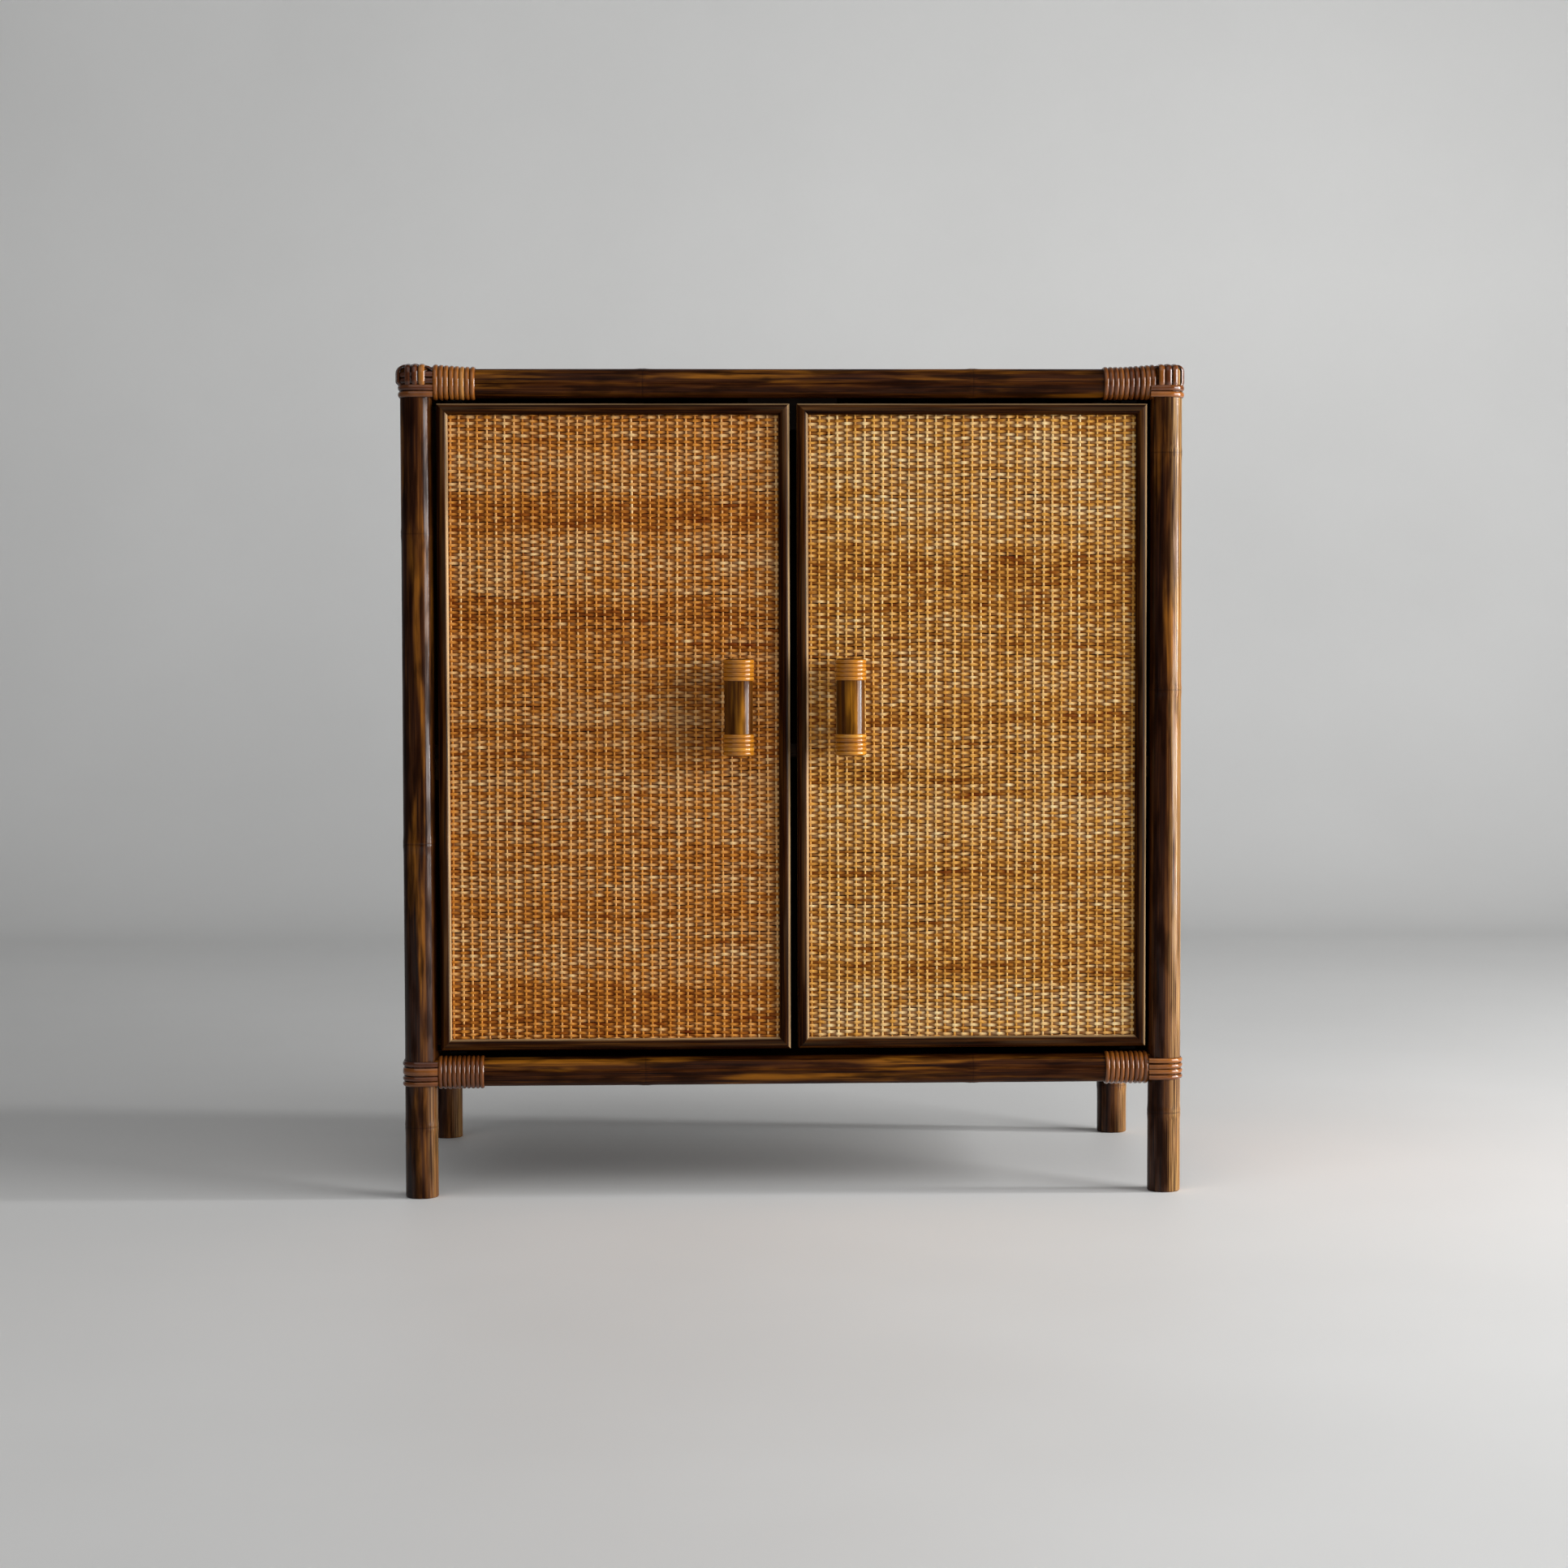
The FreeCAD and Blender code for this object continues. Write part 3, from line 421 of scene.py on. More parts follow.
UPRIGHT = (0, 0, 0)
CROSSWISE = (0, math.pi / 2, 0)
FRONT_TO_BACK = (math.pi / 2, 0, 0)
plain_wood = plain_wood_finish("plain_wood", (0.16, 0.075, 0.03, 1), (0.36, 0.2, 0.09, 1), FRONT_TO_BACK)
catch_wood = plain_wood_finish("catch_wood", (0.004, 0.0016, 0.0008, 1), (0.012, 0.005, 0.002, 1),
                               CROSSWISE)
PLAIN_PARTS = {"rail_dowels": plain_wood, "shelf_cleats": plain_wood, "catch_block": catch_wood}
for node, wood in PLAIN_PARTS.items():
    cad_nodes[node].material_slots[0].material = wood

# Boards
# Veneered boards let in between the poles: sides, back, floor, top and shelf, with the cores of the
# doors. They are stained dark brown, with a flat-sawn figure, and finished with a thin satin varnish.


def board_finish(name, dark, pale, turn):
    """Stained veneer: long distorted bands for the figure, broken up by streaks and fine pores."""
    material, tree, shader = new_material(name, Specular_IOR_Level=0.2, Coat_Weight=0.1,
                                          Coat_Roughness=0.3)
    turned = turned_place(tree, turn)
    squeezed = shader_node(tree, "ShaderNodeVectorMath", {0: turned, 1: (34.0, 34.0, 2.2)},
                           operation="MULTIPLY").outputs[0]
    figure = shader_node(tree, "ShaderNodeTexWave", {"Vector": squeezed, "Scale": 0.35, "Distortion": 7.0,
                                                     "Detail": 2.0, "Detail Scale": 0.6}).outputs[1]
    grain = grain_in(tree, across=900.0, along=9.0, vector=turned)
    shade = weighed(tree, (figure, 0.1), (grain["Streak"], 0.56), (grain["Patch"], 0.34))
    colour = ramp(tree, shade, ((0.25, dark), (0.72, pale)))
    pores = stretched(tree, grain["Fibre"], 0.3, 0.42)
    colour = mixed(tree, pores, dark, colour)
    roughness = stretched(tree, grain["Streak"], 0.3, 0.7, 0.38, 0.55)
    normal = bumped(tree, pores, strength=0.3, depth=0.15 * MM)
    feed(tree, shader, Base_Color=colour, Roughness=roughness, Normal=normal)
    return material


BOARD_DARK = (0.018, 0.007, 0.003, 1)
BOARD_PALE = (0.095, 0.04, 0.015, 1)
board_upright = board_finish("stained_board_upright", BOARD_DARK, BOARD_PALE, UPRIGHT)
board_level = board_finish("stained_board_level", BOARD_DARK, BOARD_PALE, CROSSWISE)
for node in ("side_board_left", "side_board_right", "back_board", "door_core_left", "door_core_right"):
    cad_nodes[node].material_slots[0].material = board_upright
for node in ("top_board", "bottom_board", "shelf"):
    cad_nodes[node].material_slots[0].material = board_level

# Woven sheets
# Plain-woven cane on the sides, the top and both doors: thin upright strands about 8 mm apart, and
# flatter strands packed at about 2.7 mm that go over one and under the next. It is glued to the boards
# and pressed flat under the mouldings. Painted shade darkens the strands towards the hollows and their
# sides, and a painted highlight lies on the right side of each crest, where the light falls.
COLUMN_PITCH = 8.1 * MM
ROW_PITCH = 2.7 * MM
WEFT_HALF_WIDTH = 1.27 * MM
WEFT_HALF_THICKNESS = 0.42 * MM
WARP_HALF_WIDTH = 0.98 * MM
WARP_HALF_THICKNESS = 0.62 * MM
WEFT_SWING = 0.74 * MM
WARP_SWING = 0.3 * MM
WEAVE_MIDDLE = 1.2 * MM
PRESSED_SHARE = 0.55
PRESSED_MIDDLE = 0.8 * MM
MOULDING_WIDTH = 10 * MM
PRESS_BLEND = 3 * MM
PRESS_LEAD = 0.4
ROW_WANDER = 0.4 * MM
LONG_WAVE = (47 * MM, 33 * MM)
SHORT_WAVE = (21 * MM, -50 * MM)
FINE_WAVE = (11 * MM, 2.1, 0.5)
ROW_SHIFT = 0.1 * MM
CROSSING_SHIFT = 0.15 * MM
CROSSING_SWING = 0.08
CROSSING_SHADES = 0.17
BATCH_ROWS = 9
BATCH_SHARE = 0.55
WEFT_WIDTHS = (0.86, 1.06)
WARP_WIDTHS = (0.8, 1.15)
WARP_WANDER = 0.45 * MM
WARP_WAVE = 60 * MM
WARP_PHASES = 6
WARP_SHADES = (0.22, 0.1)
# Painted shade: an upright is darker where it dips under a level strand.
WARP_PAINTED_SHADE = (0.55, 0.35)
# Values of a level strand at its three places by an upright, which it passes over (1) or under (-1).
WEFT_PLACES = {1: (-0.24, 0.0, 0.26), -1: (-0.3, 0.0, 0.3)}
WEFT_RISE = {1: (0.4, 1.0, 0.4), -1: (-0.5, -1.0, -0.5)}
WEFT_SPLAY = {1: (1.12, 1.2, 1.14), -1: (1.28, 1.32, 1.28)}
# Painted shade and light: a level strand is darkest where it dips under an upright, dark on the left of
# each crest and lighter on its right, where the light falls.
WEFT_PAINTED_SHADE = {1: (0.13, 1.0, 0.52), -1: (0.14, 0.02, 0.06)}
SECTION = np.array([(0.76, 1), (1, -0.4), (-1, -0.4), (-0.76, 1)])
SECTION_PAINTED_SHADE = 0.2
STRAND_GRAIN_SHIFT = 9
CHANCE_STREAKS = 10


def eased(value):
    """Smooth step from 0 to 1."""
    value = np.clip(value, 0, 1)
    return value * value * (3 - 2 * value)


def strand_skin(places, heights, axes, half_width, half_thickness, tone, crest, draw):
    """Skins of like strands: a flat section with sloping sides carried along each line. Places are
    (strand, ring) pairs along and across the panel, heights are above its board."""
    along, across = places
    start, lengthwise, sideways, outward = axes
    wide = half_width[..., None] * SECTION[:, 0]
    thick = half_thickness * SECTION[:, 1] * np.ones_like(wide)
    points = start + along[..., None, None] * lengthwise
    points = points + (across[..., None] + wide)[..., None] * sideways
    points = points + (heights[..., None] + thick)[..., None] * outward
    shape = points.shape[:3]
    own = draw.uniform(0, STRAND_GRAIN_SHIFT, (shape[0], 1, 1))
    grain = np.stack([np.broadcast_to(wide + own, shape), np.broadcast_to(thick + own / 3, shape),
                      np.broadcast_to(along[..., None] + own, shape)], axis=-1)
    # Painted shade: the strand's lower sides are darker than its top.
    crest = np.clip(crest[..., None] + SECTION_PAINTED_SHADE * SECTION[:, 1], 0, 1)
    return points, grain, np.broadcast_to(tone[..., None], shape), crest


def woven_skins(start, rightward, upward, outward, width, height, pressed, streaks, seed):
    """Skins of the level and the upright strands of one panel. A level strand rises over one upright
    and dips under the next, spread widest where it dips, and neighbours do so the other way round.
    Uprights swing a little against it. Under the mouldings both are pressed flat. A streak (along,
    across, half length, half height, depth) darkens the strands near it by a bell curve."""
    draw = np.random.default_rng(seed)
    start, rightward, upward, outward = (np.array(v, float) for v in (start, rightward, upward, outward))
    columns = round(width / COLUMN_PITCH)
    rows = round(height / ROW_PITCH)
    pitch = width / columns
    rise = height / rows
    column = np.arange(columns)
    row = np.arange(rows)
    over = 1 - 2 * ((column + row[:, None]) % 2)

    def by_crossing(table, at_ends):
        """A level strand's values at its three places by each upright, and at its two ends."""
        values = np.where(over[..., None] > 0, table[1], table[-1]).reshape(rows, -1)
        return np.pad(values, ((0, 0), (1, 1)), constant_values=at_ends)

    def flatness(along, across):
        """0 under the mouldings and 1 in the open."""
        near = np.minimum(np.minimum(along, width - along), np.minimum(across, height - across))
        return eased((near - MOULDING_WIDTH) / PRESS_BLEND + PRESS_LEAD) if pressed else np.ones_like(near)

    def settled(swing, open_share):
        """Height above the board of a strand that swings by a share of its room."""
        middle = PRESSED_MIDDLE + (WEAVE_MIDDLE - PRESSED_MIDDLE) * open_share
        return middle + swing * (PRESSED_SHARE + (1 - PRESSED_SHARE) * open_share)

    wave = draw.uniform(0, 2 * math.pi, 3)
    along = (np.repeat(np.arange(-1, columns + 1), 3)[2:-2] + 0.5 + by_crossing(WEFT_PLACES, 0)) * pitch
    along = np.clip(along, 0, width)
    middle = (row[:, None] + 0.5) * rise
    drift = np.sin(along / LONG_WAVE[0] + middle / LONG_WAVE[1] + wave[0])
    drift = drift + np.sin(along / SHORT_WAVE[0] + middle / SHORT_WAVE[1] + wave[1])
    drift = drift + FINE_WAVE[2] * np.sin(along / FINE_WAVE[0] + row[:, None] * FINE_WAVE[1] + wave[2])
    across = middle + ROW_WANDER * drift + draw.normal(0, ROW_SHIFT, (rows, 1))
    uneven = np.pad(np.repeat(draw.normal(0, 1, (3, rows, columns)), 3, axis=2), ((0, 0), (0, 0), (1, 1)))
    across = np.clip(across + CROSSING_SHIFT * uneven[0], WEFT_HALF_WIDTH, height - WEFT_HALF_WIDTH)
    swing = by_crossing(WEFT_RISE, 0) * WEFT_SWING * (1 + CROSSING_SWING * uneven[1])
    heights = settled(swing, flatness(along, across))
    batches = np.arange(0, rows + BATCH_ROWS, BATCH_ROWS)
    batch = np.interp(row, batches, draw.uniform(0, 1, len(batches)))
    tone = BATCH_SHARE * batch + (1 - BATCH_SHARE) * draw.uniform(0, 1, rows)
    tone = np.clip(tone, 0, 1)[:, None] + CROSSING_SHADES * uneven[2]
    for place, level, half_length, half_height, depth in np.array(streaks) * (MM, MM, MM, MM, 1):
        away = ((along - place) / half_length) ** 4 + ((across - level) / half_height) ** 2
        tone = tone - depth * np.exp(-away)
    half_width = WEFT_HALF_WIDTH * draw.uniform(*WEFT_WIDTHS, (rows, 1)) * by_crossing(WEFT_SPLAY, 1)
    weft = strand_skin((along, across), heights, (start, rightward, upward, outward), half_width,
                       WEFT_HALF_THICKNESS, tone, by_crossing(WEFT_PAINTED_SHADE, 0.5), draw)

    along = np.concatenate([[0], (row + 0.5) * rise, [height]])
    along = np.broadcast_to(along, (columns, len(along)))
    drift = np.sin(along / WARP_WAVE + draw.uniform(0, WARP_PHASES, (columns, 1)))
    across = (column[:, None] + 0.5) * pitch + WARP_WANDER * drift
    lift = np.pad(-over.T, ((0, 0), (1, 1)))
    heights = settled(lift * WARP_SWING, flatness(across, along))
    half_width = WARP_HALF_WIDTH * draw.uniform(*WARP_WIDTHS, (columns, 1))
    tone = np.clip(0.5 + draw.normal(0, WARP_SHADES[0], (columns, 1)), 0, 1)
    tone = tone + draw.normal(0, WARP_SHADES[1], along.shape)
    warp = strand_skin((along, across), heights, (start, upward, rightward, outward), half_width,
                       WARP_HALF_THICKNESS, tone, WARP_PAINTED_SHADE[0] + WARP_PAINTED_SHADE[1] * lift, draw)
    return weft, warp


def cane_finish(name, hollow, brown, tan, straw, gloss):
    """Woven cane: the strand's tone picks its colour from brown to straw, broken by streaks and
    darker blotches along it, and painted shade darkens it towards the hollows."""
    material, tree, shader = new_material(name, Specular_IOR_Level=0.08, Coat_Weight=gloss,
                                          Coat_Roughness=0.25)
    grain = grain_in(tree, across=2600.0, along=40.0)
    shade = weighed(tree, (attribute(tree, "tone"), 0.5), (grain["Patch"], 0.75), (grain["Streak"], 0.3))
    colour = ramp(tree, sum_of(tree, shade, 0.275, "SUBTRACT"),
                  ((0.0, hollow), (0.2, brown), (0.45, tan), (0.85, straw)))
    # Painted shade: the colour goes over to the dark hollow shade where the crest value is low.
    clear = stretched(tree, attribute(tree, "crest"), 0.0, 0.85)
    colour = mixed(tree, clear, hollow, colour)
    roughness = stretched(tree, grain["Fibre"], 0.3, 0.7, 0.34, 0.52)
    normal = bumped(tree, grain["Fibre"], strength=0.35, depth=0.12 * MM)
    feed(tree, shader, Base_Color=colour, Roughness=roughness, Normal=normal)
    return material


# Colour of the painted shade in the weave's hollows.
CANE_HOLLOW_SHADE = (0.165, 0.026, 0.0003, 1)
CANE_GLOSS = 0.08
side_cane = cane_finish("woven_cane_sides", CANE_HOLLOW_SHADE, (0.24, 0.074, 0.008, 1), (0.5, 0.2, 0.031, 1),
                        (0.68, 0.42, 0.17, 1), CANE_GLOSS)


def chance_streaks(width, height, seed):
    """Streaks at random places of a panel, in millimetres."""
    draw = np.random.default_rng(seed)
    low = (0, 0, 15, 1.8, 0.2)
    high = (width / MM, height / MM, 80, 3.0, 0.5)
    return draw.uniform(low, high, (CHANCE_STREAKS, len(low)))


def woven_panel(label, node, body, start, axes, size, pressed, streaks, cane, seed):
    """Both sets of strands of one panel, standing for its plain sheet."""
    weft, warp = woven_skins(start, *axes, *size, pressed, streaks, seed)
    evens, odds = (tuple(values[first::2] for values in weft) for first in (0, 1))
    for kind, skin in (("weft_even", evens), ("weft_odd", odds), ("warp", warp)):
        piece = make_piece("weave_" + label + "_" + kind, [skin], cane, sharp_degrees=180)
        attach(piece, body)
        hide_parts(node)


for side, sign in (("left", -1), ("right", 1)):
    node = "side_woven_sheet_" + side
    low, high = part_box(node)
    board_face = low.x if sign > 0 else high.x
    start = (board_face, low.y if sign > 0 else high.y, low.z)
    axes = ((0, sign, 0), (0, 0, 1), (sign, 0, 0))
    size = (high.y - low.y, high.z - low.z)
    woven_panel("side_" + side, node, "carcass", start, axes, size, pressed=True,
                streaks=chance_streaks(*size, seed=65 + sign), cane=side_cane, seed=60 + sign)
low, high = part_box("top_woven_sheet")
axes = ((1, 0, 0), (0, 1, 0), (0, 0, 1))
size = (high.x - low.x, high.y - low.y)
woven_panel("top", "top_woven_sheet", "carcass", (low.x, low.y, low.z), axes, size, pressed=False,
            streaks=chance_streaks(*size, seed=75), cane=side_cane, seed=70)

# Mouldings
# Half-round strips of dark stained wood, mitred at the corners and pinned through the woven cane. The
# slopes that face right or up are painted paler, as painted light where the light falls, and the crest is
# a little rubbed.
MOULDING_HEIGHT = 6 * MM
MOULDING_EDGE = 1 * MM
MOULDING_STEP = 9 * MM
MOULDING_ARC_STEPS = 13
MOULDING_UNEVEN = 0.12 * MM
MOULDING_WAVES = (31 * MM, 13 * MM, 70 * MM)
LIT_FROM_ABOVE = 0.8


def moulding_skin(corner, lengthwise, inward, outward, length, seed):
    """Skin of one bar: a half-round profile, a quarter wave across the width on a short square edge,
    carried along the outer edge. Each profile point starts and ends as far in as it lies from that
    edge, which makes the mitres. The tone rises on slopes that face right, and less on those that face
    up, as painted light where the light falls on them."""
    draw = np.random.default_rng(seed)
    arc = np.linspace(0, math.pi, MOULDING_ARC_STEPS)
    inset = MOULDING_WIDTH * (1 - np.cos(arc)) / 2
    rise = MOULDING_EDGE + (MOULDING_HEIGHT - MOULDING_EDGE) * np.sin(arc)
    inset = np.concatenate([[0], inset, [MOULDING_WIDTH]])
    rise = np.concatenate([[0], rise, [0]])
    share = np.linspace(0, 1, round(length / MOULDING_STEP) + 1)[:, None]
    along = inset + share * (length - 2 * inset)
    phase = draw.uniform(0, 2 * math.pi, 3)
    uneven = np.sin(along[..., None] / np.array(MOULDING_WAVES) + phase).sum(-1)
    raised = rise + MOULDING_UNEVEN * uneven * (rise > MOULDING_EDGE) * (share > 0) * (share < 1)
    points = np.array(corner) + along[..., None] * np.array(lengthwise, float)
    points = points + inset[:, None] * np.array(inward, float)
    points = points + raised[..., None] * np.array(outward, float)
    grain = np.stack([*np.broadcast_arrays(inset, rise, along)], axis=-1)
    crest = np.broadcast_to(rise / MOULDING_HEIGHT, along.shape)
    # Painted light: the tone rises on slopes that face right and, by a share, on those that face up.
    facing = np.pad(-np.cos(arc), 1, mode="edge") * (inward[0] + LIT_FROM_ABOVE * inward[2])
    return points[None], grain[None] + draw.uniform(0, GRAIN_SHIFT, 3), np.clip(facing, 0, 1), crest[None]


def moulding_skins(start, rightward, upward, outward, width, height, seed):
    """Four bars round a rectangle: bottom, top, then the two uprights."""
    start, rightward, upward, outward = (np.array(v, float) for v in (start, rightward, upward, outward))
    far = start + rightward * width + upward * height
    return [
        moulding_skin(start, rightward, upward, outward, width, seed),
        moulding_skin(far, -rightward, -upward, outward, width, seed + 1),
        moulding_skin(start, upward, rightward, outward, height, seed + 2),
        moulding_skin(far, -upward, -rightward, outward, height, seed + 3),
    ]


def moulding_finish():
    """Dark stained wood, streaky along the bar, paler where a crest is rubbed, and paler on slopes that
    face the light as painted light.
    """
    material, tree, shader = new_material("moulding_wood", Specular_IOR_Level=0.03, Coat_Weight=0.035,
                                          Coat_Roughness=0.1)
    grain = grain_in(tree, across=1300.0, along=12.0)
    shade = weighed(tree, (grain["Fibre"], 0.5), (grain["Streak"], 0.5))
    colour = ramp(tree, shade, ((0.38, (0.004, 0.0008, 0.0002, 1)), (0.5, (0.024, 0.0055, 0.0008, 1)),
                                (0.64, (0.1, 0.034, 0.005, 1))))
    rubbed = sum_of(tree, stretched(tree, attribute(tree, "crest"), 0.9, 1.0),
                    stretched(tree, grain["Patch"], 0.42, 0.6), "MULTIPLY")
    # Painted light: paler colour on the slopes that face right or up, where the light falls.
    pale_on_lit_side = sum_of(tree, stretched(tree, attribute(tree, "tone"), 0.46, 0.9),
                      stretched(tree, grain["Streak"], 0.3, 0.6, 0.35, 1.0), "MULTIPLY")
    pale = sum_of(tree, sum_of(tree, rubbed, 0.05, "MULTIPLY"), pale_on_lit_side, "MAXIMUM")
    colour = mixed(tree, pale, colour, (0.64, 0.41, 0.2, 1))
    roughness = stretched(tree, grain["Streak"], 0.3, 0.7, 0.3, 0.46)
    normal = bumped(tree, shade, strength=0.45, depth=0.2 * MM)
    feed(tree, shader, Base_Color=colour, Roughness=roughness, Normal=normal)
    return material


moulding_wood = moulding_finish()
for side, sign in (("left", -1), ("right", 1)):
    node = "side_mouldings_" + side
    low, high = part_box(node)
    start = (low.x if sign > 0 else high.x, low.y if sign > 0 else high.y, low.z)
    axes = ((0, sign, 0), (0, 0, 1), (sign, 0, 0))
    skins = moulding_skins(start, *axes, high.y - low.y, high.z - low.z, seed=80 + 9 * sign)
    piece = make_piece("framed_" + node, skins, moulding_wood, sharp_degrees=40)
    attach(piece, "carcass")
    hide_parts(node)

# Bindings
# Split cane, soaked and bound tight over every joint. Each rail end is wound with one strip, level
# straps go round the outside of the post, and at the top more straps cross over the post's end. The
# ends are tucked under the windings, and the colour is darker between the turns.
STRIP_ACROSS = np.array([-1, -0.92, -0.5, 0, 0.5, 0.92, 1, 0.8, -0.8])
STRIP_RISE = np.array([0.28, 0.47, 0.88, 1, 0.88, 0.47, 0.28, 0, 0])
STRIP_CREST = np.clip(1.08 - abs(STRIP_ACROSS) ** 3, 0, 1)
STRIP_THICKNESS = 1.9 * MM
HEAP = {"top": 2.2 * MM, "bottom": 0.0}
HEAP_TURNS = 6
BINDING_SEAT = 0.15 * MM
TURN_STEPS = 36
TURN_SHIFT = 0.14 * MM
TURN_SHADES = 0.06
TURN_WIDTHS = (0.95, 1.03)
LEG_STEPS = 8
CORNER_STEPS = 14
RISE_STEPS = 12
EDGE_STEPS = 9
LID_STEPS = 24
WOUND_START = 15.6 * MM
# A winding is (start, turns, pitch).
WOUND = {
    "top_left": (WOUND_START, 8, 4.7 * MM),
    "top_right": (WOUND_START - 4.7 * MM, 10, 4.7 * MM),
    "bottom_left": (WOUND_START, 10, 4.15 * MM),
    "bottom_right": (WOUND_START, 9, 4.35 * MM),
}
STRAP_LEG = 15.6 * MM
STRAP_LEG_END = 0.6 * MM
STRAP_TUCK = 1.3 * MM
TUCKED_FROM = 0.55
STRAP_TILT = 0.25 * MM
STRAP_GAP = 0.4
STRAP_PITCH = 6.1 * MM
CAP_FOOT = 12 * MM
CAP_BLEND = 3 * MM
CAP_CLEAR = 0.1 * MM
SETTLED_FROM = 0.4
CAP_LIFT = 0.75 * MM
CAP_REST = 0.8 * MM
CAP_TUCK = 2 * MM
# A level strap is (width in millimetres, tone), counted from below.
LEVEL_STRAPS = {
    "bottom_front_left": ((4.4, 0.52), (4.4, 0.42), (7.6, 0.72), (5.2, 0.36)),
    "bottom_front_right": ((4.5, 0.6), (4.6, 0.72), (4.6, 0.66), (4.8, 0.74)),
    "bottom_rear_right": ((5.4, 0.5), (5.6, 0.4), (5.4, 0.62), (5.4, 0.45)),
    "bottom_rear_left": ((5.6, 0.55), (5.2, 0.35), (5.6, 0.5), (5.4, 0.6)),
    "top_front_left": ((5.6, 0.58), (5.6, 0.46), (5.0, 0.26), (5.0, 0.3)),
    "top_front_right": ((5.4, 0.72), (5.4, 0.5)),
    "top_rear_right": ((5.6, 0.55), (5.6, 0.45)),
    "top_rear_left": ((5.6, 0.5), (5.6, 0.35), (5.0, 0.3), (5.0, 0.42)),
}
# A strap over the post's end is (places from the middle, width in millimetres, tone).
CAP_STRAPS = {
    "left": ((-1, 5.8, 0.36), (0, 5.6, 0.42), (1, 5.8, 0.86)),
    "right": ((-1, 5.8, 0.5), (0, 5.8, 0.42), (1, 5.8, 0.68)),
}
REAR_WOUND_TONE = 0.55
WOUND_TONE = {"top_front_left": 0.8, "top_front_right": 0.55, "bottom_front_left": 0.5,
              "bottom_front_right": 0.62}


def strip_skin(path, outward, across, width, tone, draw, thickness=STRIP_THICKNESS):
    """Skin of a domed strip: its profile carried along a path that lies under its middle."""
    steps = np.linalg.norm(np.diff(path, axis=0), axis=1)
    along = np.concatenate([[0], np.cumsum(steps)])
    wide = STRIP_ACROSS * np.broadcast_to(width, len(path))[:, None] / 2
    high = STRIP_RISE * thickness * np.ones((len(path), 1))
    points = path[:, None] + wide[..., None] * across[:, None] + high[..., None] * outward[:, None]
    grain = np.stack([wide, high, np.broadcast_to(along[:, None], wide.shape)], axis=-1)
    tone = np.broadcast_to(np.broadcast_to(tone, len(path))[:, None], wide.shape)
    crest = np.broadcast_to(STRIP_CREST, wide.shape)
    return points[None], grain[None] + draw.uniform(0, GRAIN_SHIFT, 3), tone[None], crest[None]


def wound_skin(pole_radius, start, pitch, width, turns, tone, draw, heap=0.0, thickness=STRIP_THICKNESS):
    """Skin of a strip wound round the first axis: each turn runs level over the front and climbs one
    pitch behind, with small differences in place, width and shade from turn to turn. The first
    turns are heaped up on top, where they lie over the tucked ends of other straps."""
    turn = np.linspace(-0.25, turns - 0.25, turns * TURN_STEPS + 1)
    number = np.floor(turn + 0.25).astype(int).clip(0, turns - 1)
    climb = np.floor(turn) + eased((turn % 1 - 0.5) * 2)
    angle = 2 * math.pi * turn
    shift = np.interp(turn, np.arange(-1, turns + 1), draw.normal(0, TURN_SHIFT, turns + 2))
    zero = np.zeros_like(turn)
    outward = np.stack([zero, -np.sin(angle), -np.cos(angle)], axis=1)
    heaped = heap * np.clip(1 - turn / HEAP_TURNS, 0, 1) * np.clip(outward[:, 2], 0, 1)
    path = outward * (pole_radius + BINDING_SEAT + heaped)[:, None]
    path[:, 0] = start + width / 2 + climb * pitch + shift
    across = np.stack([zero + 1, zero, zero], axis=1)
    shades = np.clip(tone + draw.normal(0, TURN_SHADES, turns), 0, 1)[number]
    widths = (width * draw.uniform(*TURN_WIDTHS, turns))[number]
    return strip_skin(path, outward, across, widths, shades, draw, thickness)


def level_skin(height, radius, width, tone, draw):
    """Skin of a level strap: along the front of one rail, round the outside quarter of the post and
    along the other rail, drawn in at both ends to slip under the windings."""
    arc = np.linspace(0, math.pi / 2, CORNER_STEPS)
    leg = np.linspace(STRAP_LEG, STRAP_LEG_END, LEG_STEPS)
    tuck = radius - STRAP_TUCK * eased((leg / STRAP_LEG - TUCKED_FROM) / (1 - TUCKED_FROM))
    one = np.ones_like(leg)
    path = np.concatenate([
        np.stack([leg, -tuck], axis=1),
        radius * np.stack([-np.sin(arc), -np.cos(arc)], axis=1),
        np.stack([-tuck, leg], axis=1)[::-1],
    ])
    outward = np.concatenate([
        np.stack([0 * one, -one], axis=1),
        np.stack([-np.sin(arc), -np.cos(arc)], axis=1),
        np.stack([-one, 0 * one], axis=1),
    ])
    tilt = draw.normal(0, STRAP_TILT) * np.linspace(-1, 1, len(path))
    path = np.column_stack([path, height + tilt])
    outward = np.column_stack([outward, np.zeros(len(path))])
    across = np.tile([0, 0, 1.0], (len(path), 1))
    return strip_skin(path, outward, across, width, tone, draw)


